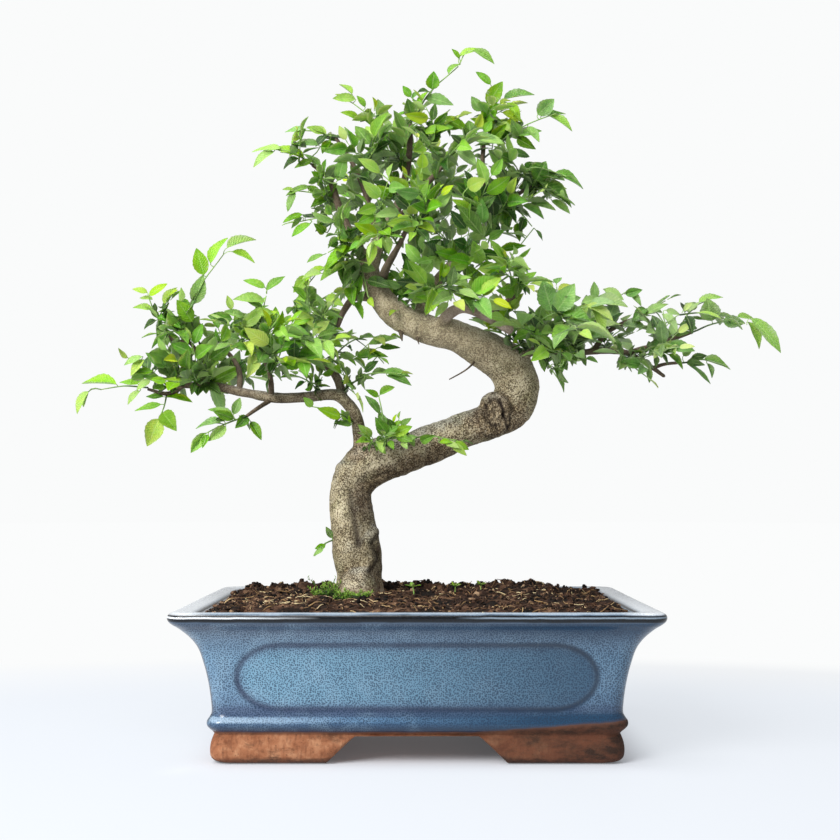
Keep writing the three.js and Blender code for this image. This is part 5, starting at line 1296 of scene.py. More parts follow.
def elm_bark():
    """Bark of a young Chinese elm: tan and fairly smooth under a dense stipple of dark brown, silver-grey with
    lichen on its upper side, cracked into brown flakes in places, and darker and browner on thin twigs. It is
    paler high up the trunk as painted light, and some of its dark lines are painted shade."""
    material, node, place = new_material("elm_bark")
    height = node("SeparateXYZ", place, out="Z")
    top, worn, girth, cut, dark = (node("Attribute", out="Fac", attribute_name=name)
                                   for name in ("top", "worn", "girth", "cut", "dark"))
    cloud = node("TexNoise", place, None, per_mm(12), 5, 0.6)
    colour = node("ValToRGB", cloud, stops=[(0.3, "#85775A"), (0.48, "#A89A78"), (0.66, "#C2B594")])
    silver = node("Math MULTIPLY_ADD", node("TexNoise", place, None, per_mm(7), 5, 0.65), 1.3, top)
    colour = node("MixRGB", node("MapRange", silver, 0.7, 1.6, 0, 0.8, **SMOOTH), colour, "#9FA095")
    olive = node("MapRange", node("TexNoise", place, None, per_mm(16), 3), 0.5, 0.65, 0, 0.35, **SMOOTH)
    colour = node("MixRGB", olive, colour, "#8C8B5E")

    # The flakes' cracks are only where old wounds and bends are.
    worn = node("Math MULTIPLY_ADD", node("TexNoise", place, None, per_mm(9), 4, 0.6), 0.9, worn)
    worn = node("MapRange", worn, 0.62, 0.95, **SMOOTH)
    colour = node("MixRGB", node("Math MULTIPLY", worn, 0.38), colour, "#94714F")
    shift = node("TexNoise", place, None, per_mm(3), 3, out="Color")
    bent = node("VectorMath MULTIPLY_ADD", shift, (0.007, 0.007, 0.007), place)
    flake = node("TexVoronoi", bent, None, per_mm(FLAKE_SIZE), feature="DISTANCE_TO_EDGE")
    crack = node("Math MULTIPLY", node("MapRange", flake, 0.1, 0.02, **SMOOTH), worn)
    colour = node("MixRGB", node("Math MULTIPLY", crack, 0.4), colour, "#39281B")

    # The stipple is denser in patches and where the bark is worn, with pale bark between its grains.
    patchy = node("TexNoise", place, None, per_mm(8), 3)
    stipple = node("TexNoise", place, None, per_mm(STIPPLE_SIZE), 2, 0.65)
    stipple = node("Math MULTIPLY_ADD", patchy, 0.3, stipple)
    stipple = node("Math MULTIPLY_ADD", worn, 0.02, stipple)
    pale = node("MapRange", stipple, 0.6, 0.5, 0, 0.5, **SMOOTH)
    colour = node("MixRGB", pale, colour, "#D3CBB2")
    stipple = node("MapRange", stipple, 0.65, 0.73, **SMOOTH)
    colour = node("MixRGB", node("Math MULTIPLY", stipple, 0.85), colour, "#3B2D1C")
    pores = node("MapRange", node("TexVoronoi", bent, None, per_mm(3.4)), 0.24, 0.12, 0, 0.75, **SMOOTH)
    colour = node("MixRGB", pores, colour, "#3B2A1B")

    colour = node("MixRGB", node("MapRange", height, 0.093, 0.0865, 0, 0.5, **SMOOTH), colour, "#805F50")
    # Painted light: paler high up the trunk, where it faces down
    colour = node("MixRGB", node("MapRange", height, 0.205, 0.24, 0, 0.3, **SMOOTH), colour, "#D6C3A2")
    young = node("ValToRGB", cloud, stops=[(0.3, "#231A15"), (0.7, "#5C4A3C")])
    colour = node("MixRGB", node("MapRange", girth, 5.2, 2, 0, 0.86, **SMOOTH), colour, young)
    fresh = node("ValToRGB", cloud, stops=[(0.35, "#8C7A6B"), (0.65, "#BFAD9C")])
    fresh = node("MixRGB", node("Math MULTIPLY", stipple, 0.35), fresh, "#5D4636")
    # The dark of the cracks, lines and scar, with painted shade along some lines of the lower trunk
    colour = node("MixRGB", dark, node("MixRGB", cut, colour, fresh), "#241811")

    depth = node("Math MULTIPLY_ADD", node("TexNoise", place, None, per_mm(4), 6, 0.7), 1.6,
                 node("Math MULTIPLY", stipple, -0.35))
    depth = node("Math MULTIPLY_ADD", crack, -0.8, depth)
    depth = node("Math MULTIPLY", depth, node("MapRange", girth, 0.5, 6, 0.25, 1))
    normal = node("Bump", {"Height": depth, "Distance": 0.85 * MM})
    shader = node("BsdfPrincipled", {"Base Color": colour, "Normal": normal, "Roughness": 0.8,
                                     "Specular IOR Level": 0.3})
    node("OutputMaterial", shader)
    return material


# The leaves

LEAF_ROWS = 13
LEAF_THICKNESS = 0.22
STEM, LEAF = 1, 0
# Degrees between a leaf and its stem, and their spread
LEAF_ANGLE = [54, 9]
# Least and greatest: a leaf's width over its length, its stalk in mm, and a side shoot's leaves
LEAF_WIDTH = [0.46, 0.6]
STALK_LENGTH = [1.2, 2.4]
SIDE_LEAVES = [4, 5]
# Radii at the two ends of a main stem and of a side stem
STEM_RADII = [0.6, 0.32]
SIDE_STEM_RADII = [0.36, 0.22]
# Youth of a leaf at the foot of a stem, what it gains to the stem's tip and to the top of the tree, and its spread
YOUTH = [0.34, 0.36, 0.28, 0.2]
TREE_TOP = [335, 380]
SHADE_LEAVES = 3


def leaf_shells(leaves):
    """Leaves as closed blades. A point is base + forward L t + across u (W / 2) w(t) + normal h, where
    w(t) = sin(π t^0.82)^0.82 narrowed to the tip and toothed in every other row, and
    h = fold |u| w(t) - droop L t² + a wave sin(7 t + phase) u, less the blade's thickness underneath."""
    base, forward, normal, length, width, fold, droop, phase, youth, tint = leaves
    t = (np.arange(LEAF_ROWS) + 1) / (LEAF_ROWS + 0.6)
    tooth = np.where(np.arange(LEAF_ROWS) % 2, 1.0, 0.93)
    half = np.sin(np.pi * t**0.82)**0.82 * (1 - 0.2 * t**3) * tooth
    u = np.array([-1.0, 0.0, 1.0, 0.0])
    under = np.array([0, 0, 0, 1.0])
    across = np.cross(forward, normal)
    long, wide, bent, hung, late = (array[:, None, None] for array in (length, width, fold, droop, phase))
    t_, half_ = t[:, None], half[:, None]
    side = u * half_ * wide / 2
    rise = (bent * np.abs(side) + 0.05 * wide * np.sin(7 * t_ + late) * u * half_
            - hung * long * t_**2 - under * LEAF_THICKNESS)
    run = long * t_ * (1 - 0.12 * hung * t_) + 0 * side
    start, ahead, beside, above = (array[:, None, None] for array in (base, forward, across, normal))
    rings = start + ahead * run[..., None] + beside * side[..., None] + above * rise[..., None]
    tip = base + forward * (length * (1 - 0.12 * droop))[:, None] - normal * (droop * length)[:, None]
    count = len(base)
    points = np.concatenate([rings.reshape(count, -1, 3), base[:, None], tip[:, None]], 1)
    quads, tris = ring_faces(LEAF_ROWS, 4)
    flat = np.ones((count, 1))
    u_map = np.append(np.tile(0.5 + u / 2, LEAF_ROWS), [0.5, 0.5]) * flat
    v_map = np.append(np.repeat(t, 4), [0, 1]) * flat
    below = np.append(np.tile(under, LEAF_ROWS), [0, 0]) * flat
    return repeated_shell(points, quads, tris, u=u_map, v=v_map, below=below, youth=youth, tint=tint,
                          skin=float(LEAF))


def pad_centre(node):
    """The middle of the pad that a shoot belongs to, named by the first word of its node."""
    return np.array(PAD_CENTRES[node.split("_")[0]], float)


def facing_of(places, node, rng):
    """The way leaves at these places face: up and away from the middle of their pad, a little forwards to the
    light, and a little at random."""
    away = unit((places - pad_centre(node)) * [1, 1.15, 1] + [0, 0, 4])
    away[:, 2] = np.maximum(away[:, 2], -0.15)
    return unit(away * 0.75 + [0, -0.22, 0.5] + rng.normal(0, 0.34, places.shape))


def sides_of(samples, at, node, rng):
    """The places of these samples of a stem, its direction there, the facing of leaves, and the way to its left
    and right side in turn."""
    places = samples[at, :3]
    along = unit(np.gradient(samples[:, :3], axis=0))[at]
    facing = across_to(facing_of(places, node, rng), along)
    turn = np.where(np.arange(len(at)) % 2, 1.0, -1.0) * (1 if rng.uniform() < 0.5 else -1)
    return places, along, facing, np.cross(along, facing) * turn[:, None]


def leafy_stem(path, count, length, node, rng, first=0.2):
    """Leaves in turn on the two sides of a stem, growing and then shrinking along it, with one at its tip.
    Gives the stem's samples, and the leaves' bases, directions, facings and lengths."""
    samples = smooth_path([[*point, 1] for point in path], 1.5)
    share = np.linspace(first, 1, count)
    at = np.rint(share * (len(samples) - 1)).astype(int)
    places, along, facing, aside = sides_of(samples, at, node, rng)
    angle = np.radians(rng.normal(*LEAF_ANGLE, count))
    angle[-1:] *= 0.2
    forward = unit(along * np.cos(angle)[:, None] + aside * np.sin(angle)[:, None]
                   + facing * rng.normal(0.05, 0.12, (count, 1)))
    size = length * (0.61 + 0.37 * np.sin(np.pi * share**1.1)) * rng.uniform(0.82, 1.15, count)
    return samples, places, forward, facing, size, share


def side_paths(samples, count, length, node, rng):
    """Short side shoots that leave a stem in turn, curving up and out."""
    at = np.rint(rng.uniform(0.08, 0.85, count) * (len(samples) - 1)).astype(int)
    start, along, facing, aside = sides_of(samples, at, node, rng)
    reach = length * rng.uniform(0.8, 1.35, (count, 1))
    heading = unit(along * 0.55 + aside * rng.uniform(0.6, 1, (count, 1)) + facing * 0.4)
    return np.stack([start, start + heading * reach * 0.5, start + (heading + facing * 0.22) * reach], 1)


def set_leaf_arrays(rows):
    """Base, direction, facing, length and width of the leaves that are listed one by one. Each is turned about its
    length until its blade, half as wide as it is long, shows the given width from the front."""
    rows = np.array(rows, float)
    base, tip, seen, youth = rows[:, :3], rows[:, 3:6], rows[:, 6], rows[:, 7]
    length = np.linalg.norm(tip - base, axis=1)
    forward = unit(tip - base)
    front = across_to(unit(np.array([CAMERA_PLACE], float) - base), forward)
    edge = np.cross(forward, front)
    width = np.maximum(seen, 0.47 * length)
    turn = np.arccos(np.clip(seen / width, 0.15, 1))
    up = np.where(edge[:, 2] < 0, -1.0, 1.0)
    normal = front * np.cos(turn)[:, None] + edge * (np.sin(turn) * up)[:, None]
    return base, forward, unit(normal), length, width, 0.85 * youth


def shoot_parts(node, path, count, length, sides, seed):
    """The stems of one shoot, each with its two radii, the places on them where leaves sit, and those leaves."""
    rng = np.random.default_rng(seed)
    main = leafy_stem(path, max(count, 1), length, node, rng)
    stems = [(main[0], *STEM_RADII)]
    groups = [main[1:]] if count else []
    for side in side_paths(main[0], sides, length, node, rng):
        leaves = leafy_stem(side, rng.integers(*SIDE_LEAVES, endpoint=True), length * 0.92, node, rng, 0.3)
        stems.append((leaves[0], *SIDE_STEM_RADII))
        groups.append(leaves[1:])
    if not groups:
        return stems, np.zeros((0, 3)), None
    places, forward, facing, size, share = (np.concatenate(group) for group in zip(*groups))
    number = len(places)
    base = places + forward * rng.uniform(*STALK_LENGTH, number)[:, None]
    # Painted shade: leaves deep inside a pad are coloured older and darker
    shift, radii, most = CROWN_SHADE if node.startswith("crown") else SIDE_SHADE
    inner = most * np.exp(-(np.linalg.norm((places - pad_centre(node) - shift) / radii, axis=1))**2)
    foot, growth, rise, spread = YOUTH
    youth = foot + growth * share + rise * smoothstep(places[:, 2], *TREE_TOP) - inner
    youth = np.clip(youth + rng.normal(0, spread, number), -0.3, 1)
    shown = [base, across_to(forward, across_to(facing, forward)), across_to(facing, forward), size,
             size * rng.uniform(*LEAF_WIDTH, number), *blade_shapes(rng, number), youth, rng.uniform(0, 1, number)]
    hidden, starts = shade_leaves(stems, length, rng)
    return stems, np.concatenate([places, starts]), [np.concatenate(pair) for pair in zip(shown, hidden)]


def shade_leaves(stems, length, rng):
    """Small, dark old leaves in the shade, their darkness partly painted shade: on the inner part of each stem,
    pointing any way but facing up.
    """
    inner = np.concatenate([samples[:max(round(0.55 * len(samples)), 2), :3] for samples, _, _ in stems])
    number = SHADE_LEAVES * len(stems)
    places = inner[rng.integers(0, len(inner), number)]
    forward = unit(rng.normal(0, 1, (number, 3)) + [0, 0.3, 0.1])
    facing = across_to(rng.normal(0, 0.5, (number, 3)) + [0, -0.3, 1], forward)
    size = length * rng.uniform(0.4, 0.66, number)
    return [places + forward * 1.6, forward, facing, size, size * rng.uniform(0.48, 0.62, number),
            *blade_shapes(rng, number), rng.uniform(-0.15, 0.2, number), rng.uniform(0, 0.6, number)], places


def blade_shapes(rng, count):
    """How far each leaf is folded, how far it droops, and the phase of its wave."""
    return rng.uniform(0.15, 0.85, count), rng.uniform(0.02, 0.28, count), rng.uniform(0, 6.28, count)


def shoot_shell(node):
    """All the stems and leaves of a node: the seeded ones, the listed ones, and a stalk from each leaf to
    its stem."""
    rng = np.random.default_rng(sum(map(ord, node)))
    shoots = [shoot_parts(node, *row) for row in SHOOTS[node]]
    stems = [stem for shoot in shoots for stem in shoot[0]]
    shells = []
    for samples, thick, thin in stems:
        samples = samples.copy()
        samples[:, 3] = np.linspace(thick, thin, len(samples))
        samples[:, :3] += drift(samples[:, :3], 9, 5) * 0.5
        rings = samples[::2]
        youth = np.linspace(0.1, 0.75, len(rings))
        shells.append(tube(rings, 5, skin=float(STEM), youth=np.append(np.repeat(youth, 5), youth[[0, -1]])))
    leaves = [shoot[2] for shoot in shoots if shoot[2]]
    starts = [shoot[1] for shoot in shoots if shoot[2]]
    if node in SET_LEAVES:
        base, forward, facing, length, width, youth = set_leaf_arrays(SET_LEAVES[node])
        lines = np.concatenate([samples[:, :3] for samples, _, _ in stems])
        starts.append(lines[nearest(base, lines)[1]])
        leaves.append([base, forward, facing, length, width, *blade_shapes(rng, len(base)), youth,
                       rng.uniform(0, 1, len(base))])
    leaves = [np.concatenate(group) for group in zip(*leaves)]
    shells.append(leaf_shells(leaves))
    shells.append(stalk_shells(np.concatenate(starts), leaves[0], leaves[1]))
    return merged(shells)


def stalk_shells(starts, ends, forward):
    """Leaf stalks: thin three-sided tubes from the stem to the leaf, arriving along the leaf's own length. The
    path is the quadratic (1 - t)² start + 2 t (1 - t) knee + t² end."""
    t = np.linspace(0, 1, 4)[None, :, None]
    reach = np.linalg.norm(ends - starts, axis=1, keepdims=True)
    knee = (ends - forward * 0.45 * reach)[:, None]
    centre = (1 - t)**2 * starts[:, None] + 2 * t * (1 - t) * knee + t**2 * (ends + forward * 0.5)[:, None]
    radius = np.where(reach > 6, 0.42, 0.3)[..., None, None]
    return thin_tubes(centre, radius, [0.31, 0.83, 0.47], 0, 0, skin=float(STEM), youth=0.6)


def elm_leaf(settings):
    """Living elm leaves: satin green blades, deep when old and yellow-green when young, with a pale midrib and
    side veins, a paler underside, and light that shines through them."""
    material, node, place = new_material("elm_leaf")
    uv = node("UVMap", uv_map="UVMap")
    along = node("SeparateXYZ", uv, out="Y")
    out = node("Math MULTIPLY", node("Math ABSOLUTE", node("Math SUBTRACT", node("SeparateXYZ", uv), 0.5)), 2)
    tint = node("Attribute", out="Fac", attribute_name="tint")
    age = node("Math MULTIPLY_ADD", tint, 0.3, node("Attribute", out="Fac", attribute_name="youth"))
    age = node("Math MULTIPLY_ADD", node("TexNoise", place, None, per_mm(4), 7, 0.78), 0.85, age)
    colour = node("ValToRGB", node("Math SUBTRACT", age, 0.56), stops=[
        (0.0, list(settings.old)), (0.4, list(settings.grown)), (0.67, list(settings.fresh)),
        (1.0, list(settings.young))])
    # Leaf by leaf the green turns to yellow or blue and is fuller or duller, duller towards the right pad.
    turned = node("MapRange", node("Math FRACT", node("Math MULTIPLY", tint, 7.3)), 0, 1, 0.489, 0.516)
    fuller = node("MapRange", node("Math FRACT", node("Math MULTIPLY", tint, 17.9)), 0, 1, 0.86, 1.18)
    duller = node("MapRange", node("SeparateXYZ", place), 0.06, 0.11, 1, 0.82)
    colour = node("HueSaturation", turned, node("Math MULTIPLY", fuller, duller), None, None, colour)
    vein = node("Math FRACT", node("Math MULTIPLY_ADD", out, -2.4, node("Math MULTIPLY", along, 11)))
    vein = node("Math ABSOLUTE", node("Math SUBTRACT", vein, 0.5))
    colour = node("MixRGB", node("MapRange", vein, 0.12, 0.02, 0, 0.1, **SMOOTH), colour, "#C5DB86")
    middle = node("MapRange", out, 0.14, 0.03, **SMOOTH)
    colour = node("MixRGB", node("Math MULTIPLY", middle, 0.22), colour, "#C6DB90")
    below = node("MapRange", node("Attribute", out="Fac", attribute_name="below"), 0.01, 0.05, 0, 0.35)
    colour = node("MixRGB", below, colour, "#A9C583")
    height = node("Math MULTIPLY_ADD", middle, -0.3, vein)
    height = node("Math MULTIPLY_ADD", node("TexNoise", place, None, per_mm(1.3), 4, 0.65), 1.6, height)
    normal = node("Bump", {"Height": height, "Distance": 0.28 * MM})
    shader = node("BsdfPrincipled", {
        "Base Color": colour, "Normal": normal, "Roughness": 0.42, "IOR": 1.45, "Specular IOR Level": 0.36,
        "Subsurface Weight": settings.glow, "Subsurface Radius": (0.6, 1.0, 0.25), "Subsurface Scale": 1.1 * MM})
    node("OutputMaterial", shader)
    return material


def green_stem():
    """Soft young stems: yellow-green at the tip and dark red-brown where they turn to wood."""
    material, node, place = new_material("green_stem")
    age = node("Math ADD", node("Attribute", out="Fac", attribute_name="youth"),
               node("TexNoise", place, None, per_mm(7), 3))
    colour = node("ValToRGB", node("Math SUBTRACT", age, 0.5), stops=[
        (0.2, "#3A2B20"), (0.5, "#6B5E3A"), (0.85, "#93A654")])
    normal = node("Bump", {"Height": node("TexNoise", place, None, per_mm(0.7), 3), "Distance": 0.1 * MM})
    shader = node("BsdfPrincipled", {"Base Color": colour, "Normal": normal, "Roughness": 0.55,
                                     "Specular IOR Level": 0.4})
    node("OutputMaterial", shader)
    return material


# Moss and seedlings

def moss_shell(centre, size, seed):
    """A tuft of moss on the soil: a low dome, and sprigs that stand on it. A sprig is the arc start + heading t +
    out t², set all along with small pointed leaves."""
    rng = np.random.default_rng(seed)
    ground = float(soil_ground(np.array(centre[0], float), np.array(centre[1], float)))
    middle = np.array([*centre, ground - 1.4])
    b = np.linspace(-0.35, np.pi / 2, 9)[:-1, None]
    a = np.arange(24) * 2 * np.pi / 24
    ball = np.stack([np.cos(b) * np.cos(a), np.cos(b) * np.sin(a), np.sin(b) + 0 * a], -1)
    scale = np.array(size, float) * [0.85, 0.85, 0.5]
    rings = middle + ball * scale * (1 + 0.25 * lattice_noise(ball * scale, 2.5, seed))[..., None]
    dome = ring_shell(rings, np.array([middle - [0, 0, 1.6], middle + [0, 0, scale[2]]]), youth=0.0)

    count, leaves = MOSS_SPRIGS, MOSS_LEAVES
    turn, reach = rng.uniform(0, 2 * np.pi, count), rng.uniform(0, 1, count)**0.6
    out = np.stack([np.cos(turn), np.sin(turn), 0 * turn], -1)
    start = middle + out * reach[:, None] * scale
    height = rng.uniform(0.35, 1.0, (count, 1)) * size[2]
    heading = (out * 0.25 + rng.normal(0, 0.2, out.shape)) * height + [0, 0, 1] * height
    t = np.linspace(0.15, 1, leaves)[:, None]
    place = start[:, None] + heading[:, None] * t + (out * height * 0.3)[:, None] * t**2
    leaf = unit(unit(heading)[:, None] * 0.7 + rng.normal(0, 0.6, place.shape))
    size_of = rng.uniform(1.2, 2.3, count * leaves)
    youth = (0.15 + 0.6 * t[:, 0] + rng.normal(0, 0.15, (count, leaves))).clip(0, 1)
    blades = pointed_blades(place.reshape(-1, 3), leaf.reshape(-1, 3), size_of, size_of * 0.16, youth.ravel())
    return merged([dome, blades])


def pointed_blades(base, heading, length, radius, youth):
    """Thin pointed blades: a three-sided tube over the lower 0.55 of the length, and a point ahead of it."""
    reach = length[:, None, None]
    centre = base[:, None] + heading[:, None] * reach * np.array([0, 0.55])[:, None]
    thick = radius[:, None, None, None] * np.array([1, 0.75])[:, None, None]
    return thin_tubes(centre, thick, [0.27, 0.91, 0.32], 0.2, 0.45 * reach, youth=youth)


def moss_green():
    """Cushion moss: yellow-green blade tips over a darker, browner inside, soft and dull."""
    material, node, place = new_material("cushion_moss")
    shade = node("Math ADD", node("Attribute", out="Fac", attribute_name="youth"),
                 node("TexNoise", place, None, per_mm(4), 3))
    colour = node("ValToRGB", node("Math SUBTRACT", shade, 0.5), stops=[
        (0.1, "#26331A"), (0.5, "#4F7526"), (0.95, "#93B847")])
    shader = node("BsdfPrincipled", {"Base Color": colour, "Roughness": 0.75, "Specular IOR Level": 0.25,
                                     "Subsurface Weight": 0.2, "Subsurface Radius": (0.6, 1.0, 0.3),
                                     "Subsurface Scale": 0.8 * MM})
    node("OutputMaterial", shader)
    return material


def seedling_shell(centre, seed):
    """A seedling: a thin upright stem, a pair of seed leaves and a pair of small true leaves above them."""
    rng = np.random.default_rng(seed)
    x, y = centre
    ground = float(soil_ground(np.array(x, float), np.array(y, float)))
    lean = rng.normal(0, 0.8, 2)
    top = np.array([x + lean[0], y + lean[1], ground + 4.6])
    stem = smooth_path([[x, y, ground - 2, 0.45], [x, y, ground + 1.5, 0.42], [*top, 0.35]], 1)
    turn = rng.uniform(0, np.pi) + np.array([0, np.pi, np.pi / 2, 3 * np.pi / 2])
    forward = unit(np.stack([np.cos(turn), np.sin(turn), [0.4, 0.5, 1.1, 1]], -1))
    base = np.tile(top, (4, 1)) - [0, 0, 0.4]
    facing = across_to(np.tile([0.0, 0, 1], (4, 1)) - forward * 0.2, forward)
    leaves = leaf_shells((base, forward, facing, np.array([5.4, 5, 4.6, 4]), np.array([4, 3.8, 3.2, 2.8]),
                          np.full(4, 0.2), np.full(4, 0.15), rng.uniform(0, 6, 4), np.full(4, 0.62),
                          rng.uniform(0, 1, 4)))
    return merged([tube(stem, 6, skin=float(STEM), youth=0.7), leaves])


def mesh_plastic():
    """Moulded black polyethylene mesh: satin, finely pitted, and dusted brown by the soil."""
    material, node, place = new_material("moulded_polyethylene")
    dust = node("MapRange", node("TexNoise", place, None, per_mm(6), 4), 0.5, 0.7, 0, 0.5, **SMOOTH)
    colour = node("MixRGB", dust, "#1A1A1B", "#4A3626")
    normal = node("Bump", {"Height": node("TexNoise", place, None, per_mm(0.6), 3), "Distance": 0.08 * MM})
    node("OutputMaterial", node("BsdfPrincipled", {"Base Color": colour, "Normal": normal, "Roughness": 0.5}))
    return material


# Settings

class PotSettings(bpy.types.PropertyGroup):
    """The glazed tray pot."""
    panel_depth: FloatProperty(
        name="Panel depth", description="How far the oval panels are sunk into the walls",
        default=0.0009, min=0, max=0.003, unit="LENGTH", subtype="DISTANCE")
    groove_depth: FloatProperty(
        name="Groove depth", description="Depth of the groove along the outline of a panel",
        default=0.0007, min=0, max=0.002, unit="LENGTH", subtype="DISTANCE")


class SoilSettings(bpy.types.PropertyGroup):
    """The mound of peat."""
    crumbs: IntProperty(name="Crumbs", description="Number of loose crumbs", default=5600, min=0, max=9000)
    fibres: IntProperty(name="Fibres", description="Number of fibres and straws", default=1700, min=0, max=4000)


class WoodSettings(bpy.types.PropertyGroup):
    """The trunk, limbs and twigs."""
    voxel: FloatProperty(
        name="Skin detail", description="Size of the voxels that the trunk is skinned with",
        default=0.00078, min=0.0005, max=0.003, unit="LENGTH", subtype="DISTANCE")
    relief: FloatProperty(
        name="Bark relief", description="How strongly the bark stands out", default=1, min=0, max=2,
        subtype="FACTOR")


def colour_setting(name, description, colour):
    """A colour that a user can change, from an sRGB hex value."""
    return FloatVectorProperty(
        name=name, description=description, size=4, subtype="COLOR", default=linear(colour), min=0, max=1)


class LeafSettings(bpy.types.PropertyGroup):
    """The leafy shoots."""
    glow: FloatProperty(
        name="Glow", description="Share of the light that passes through a leaf", default=0.24, min=0, max=1,
        subtype="FACTOR")
    old: colour_setting("Old leaf", "Colour of the oldest leaves", "#1F3D0E")
    grown: colour_setting("Grown leaf", "Colour of grown leaves", "#6C9E36")
    fresh: colour_setting("Fresh leaf", "Colour of fresh leaves", "#8FB848")
    young: colour_setting("Young leaf", "Colour of the youngest leaves", "#B0C44A")


class StageSettings(bpy.types.PropertyGroup):
    """The floor, lights and camera."""
    key_power: FloatProperty(
        name="Key light", description="Power of the large soft light from the upper left", default=26.5, min=0,
        subtype="POWER")
    fill: FloatProperty(
        name="Fill", description="Brightness of the light from all round", default=0.395, min=0, max=2)
    lens: FloatProperty(
        name="Focal length", description="Focal length of the camera, in mm", default=55.37, min=10, max=200)


# Operators

class BONSAI_OT_pot(bpy.types.Operator):
    """Build the glazed tray pot and finish its drainage meshes"""
    bl_idname = "bonsai.pot"
    bl_label = "Pot"

    def execute(self, context):
        pot = put_mesh("glazed_tray_pot", pot_shell(context.scene.bonsai_pot))
        drill_drains(pot)
        finish_piece(pot, "glazed_pot", ["pot"], glaze_and_clay(), sharp=50)
        plastic = mesh_plastic()
        for name in ("drainage_mesh_left", "drainage_mesh_right"):
            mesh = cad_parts[name].data
            mesh.materials.clear()
            mesh.materials.append(plastic)
        return {"FINISHED"}


class BONSAI_OT_soil(bpy.types.Operator):
    """Build the mound of peat with its crumbs and fibres"""
    bl_idname = "bonsai.soil"
    bl_label = "Soil"

    def execute(self, context):
        settings = context.scene.bonsai_soil
        mound = put_mesh("peat_mound", merged([soil_shell(), crumbs_shell(settings)]))
        finish_piece(mound, "peat", ["soil"], damp_peat(), sharp=60)
        finish_piece(put_mesh("peat_fibres", fibres_shell(settings)), "peat", [], dry_fibre())
        return {"FINISHED"}


class BONSAI_OT_wood(bpy.types.Operator):
    """Grow the trunk, limbs, twigs and roots"""
    bl_idname = "bonsai.wood"
    bl_label = "Wood"

    def execute(self, context):
        finish_piece(wood_piece(context.scene.bonsai_wood), "bark", ["trunk_and_branches"], elm_bark())
        return {"FINISHED"}


class BONSAI_OT_leaves(bpy.types.Operator):
    """Grow the leafy shoots"""
    bl_idname = "bonsai.leaves"
    bl_label = "Leafy shoots"

    def execute(self, context):
        blade, stem = elm_leaf(context.scene.bonsai_leaf), green_stem()
        for node in SHOOTS:
            finish_piece(put_mesh("leafy_" + node, shoot_shell(node)), "leaf", [node], blade, stem, sharp=75)
        return {"FINISHED"}


class BONSAI_OT_ground_plants(bpy.types.Operator):
    """Grow the moss and the seedlings on the soil"""
    bl_idname = "bonsai.ground_plants"
    bl_label = "Moss and seedlings"

    def execute(self, context):
        moss = moss_green()
        for number, (node, centre, size) in enumerate(MOSS_TUFTS):
            tuft = put_mesh("grown_" + node, moss_shell(centre, size, 301 + number))
            finish_piece(tuft, "moss", [node], moss)
        blade, stem = elm_leaf(context.scene.bonsai_leaf), green_stem()
        for number, (node, centre) in enumerate(SEEDLINGS):
            seedling = put_mesh("grown_" + node, seedling_shell(centre, 401 + number))
            finish_piece(seedling, "seedling_leaf", [node], blade, stem)
        return {"FINISHED"}


class BONSAI_OT_stage(bpy.types.Operator):
    """Set the floor, the soft lights and the camera"""
    bl_idname = "bonsai.stage"
    bl_label = "Stage"

    def execute(self, context):
        settings = context.scene.bonsai_stage
        put_floor()
        put_lights(context, settings)
        put_camera(context, settings)
        return {"FINISHED"}


# The stage

def put_floor():
    """A large round floor, pale and slightly blue near the pot, that turns to plain white further out. It glows as
    painted light that lifts the shadows round the pot, but hardly under it.
    """
    corner = np.arange(96)
    turn = corner * 2 * np.pi / len(corner)
    rim = np.stack([np.cos(turn), np.sin(turn), 0 * turn], -1) * FLOOR_RADIUS
    points = np.concatenate([rim, [[0, 0, 0]]])
    tris = np.stack([corner, np.roll(corner, -1), np.full(len(corner), len(corner))], -1)
    floor = put_mesh("floor", {"points": points, "quads": np.zeros((0, 4), int), "tris": tris, "values": {}})
    material, node, place = new_material("white_acrylic_table")
    shifted = node("Mapping", place, (0, 0.33, 0), None, (1.35, 1.75, 1))
    far = node("MapRange", node("VectorMath LENGTH", shifted, out="Value"), 0.62, 1.04, 0, 1, **SMOOTH)
    aside, back = (node("Math ABSOLUTE", node("SeparateXYZ", place, out=axis)) for axis in "XY")
    # Painted light: the floor glows, which lifts its shadows, least under the pot and most round and beyond it
    outside = node("Math MAXIMUM", node("MapRange", aside, 0.098, 0.14), node("MapRange", back, 0.066, 0.112))
    lifted = node("Math MAXIMUM", node("MapRange", outside, 0, 1, 0.08, 0.78, **SMOOTH), far)
    table = node("BsdfPrincipled", {"Base Color": "#E6E9EF", "Roughness": 0.5})
    glow = node("Emission", node("MixRGB", far, "#EDF2F8", "#FBFCFC"), 1.0)
    node("OutputMaterial", node("MixShader", lifted, table, glow))
    floor.data.materials.append(material)


def put_lights(context, settings):
    """A white world, dim as a light, a little brighter in reflections and nearly full white as a backdrop, and
    two large soft lamps."""
    world = bpy.data.worlds.new("white_studio")
    world.use_nodes = True
    world.node_tree.nodes.clear()
    node = partial(add_node, world.node_tree)
    fill = node("Background", "#F6F7FF", settings.fill)
    shiny = node("Background", "#FFFFFF", settings.fill * 1.05)
    seen = node("Background", "#FAFBFB", 1.0)
    lit = node("MixShader", node("LightPath", out="Is Glossy Ray"), fill, shiny)
    node("OutputWorld", node("MixShader", node("LightPath", out="Is Camera Ray"), lit, seen))
    context.scene.world = world
    for name, (spot, size, share) in LAMPS.items():
        light = bpy.data.lights.new(name, "AREA")
        light.shape = "DISK"
        light.size = size * MM
        light.energy = settings.key_power * share
        lamp = bpy.data.objects.new(name, light)
        lamp.location = [part * MM for part in spot]
        x, y, z = np.subtract(LAMP_TARGET, spot)
        lamp.rotation_euler = (math.atan2(math.hypot(x, y), -z), 0, math.atan2(y, x) - math.pi / 2)
        context.scene.collection.objects.link(lamp)
    context.scene.view_settings.view_transform = "Standard"


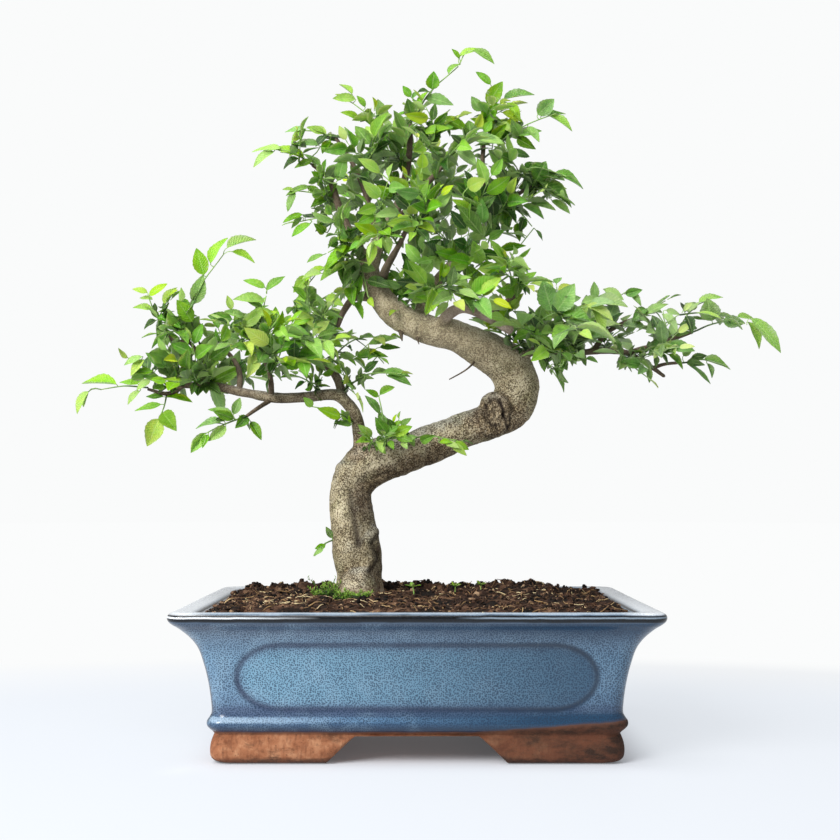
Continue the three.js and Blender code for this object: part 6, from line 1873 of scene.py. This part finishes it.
def put_camera(context, settings):
    """The camera in front of the pot, tilted a little up."""
    lens = bpy.data.cameras.new("camera")
    lens.lens = settings.lens
    lens.sensor_width = 36
    lens.clip_end = 20
    camera = bpy.data.objects.new("camera", lens)
    camera.location = [part * MM for part in CAMERA_PLACE]
    camera.rotation_euler = (math.radians(CAMERA_TILT), 0, 0)
    context.scene.collection.objects.link(camera)
    context.scene.camera = camera


# Panel and registration

class BONSAI_PT_panel(bpy.types.Panel):
    """The steps that build the tree, in order."""
    bl_idname = "BONSAI_PT_panel"
    bl_label = "Bonsai"
    bl_space_type = "VIEW_3D"
    bl_region_type = "UI"
    bl_category = "Bonsai"

    def draw(self, context):
        column = self.layout.column()
        for operator in OPERATORS:
            column.operator(operator.bl_idname)
        for group in GROUPS:
            box = self.layout.box()
            settings = getattr(context.scene, group)
            for name in settings.bl_rna.properties.keys():
                if name not in ("name", "rna_type"):
                    box.prop(settings, name)


OPERATORS = [BONSAI_OT_stage, BONSAI_OT_pot, BONSAI_OT_soil, BONSAI_OT_wood, BONSAI_OT_leaves,
             BONSAI_OT_ground_plants]
GROUPS = {"bonsai_pot": PotSettings, "bonsai_soil": SoilSettings, "bonsai_wood": WoodSettings,
          "bonsai_leaf": LeafSettings, "bonsai_stage": StageSettings}


def register():
    """Adds the classes, and the settings to the scene."""
    for kind in [*GROUPS.values(), *OPERATORS, BONSAI_PT_panel]:
        bpy.utils.register_class(kind)
    for name, kind in GROUPS.items():
        setattr(bpy.types.Scene, name, PointerProperty(type=kind))


def unregister():
    """Takes the settings and the classes away again."""
    for name in GROUPS:
        delattr(bpy.types.Scene, name)
    for kind in [BONSAI_PT_panel, *reversed(OPERATORS), *reversed(GROUPS.values())]:
        bpy.utils.unregister_class(kind)


def main():
    register()
    bpy.ops.bonsai.stage()
    bpy.ops.bonsai.pot()
    bpy.ops.bonsai.soil()
    bpy.ops.bonsai.wood()
    bpy.ops.bonsai.leaves()
    bpy.ops.bonsai.ground_plants()
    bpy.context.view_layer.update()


if __name__ == "__main__":
    main()
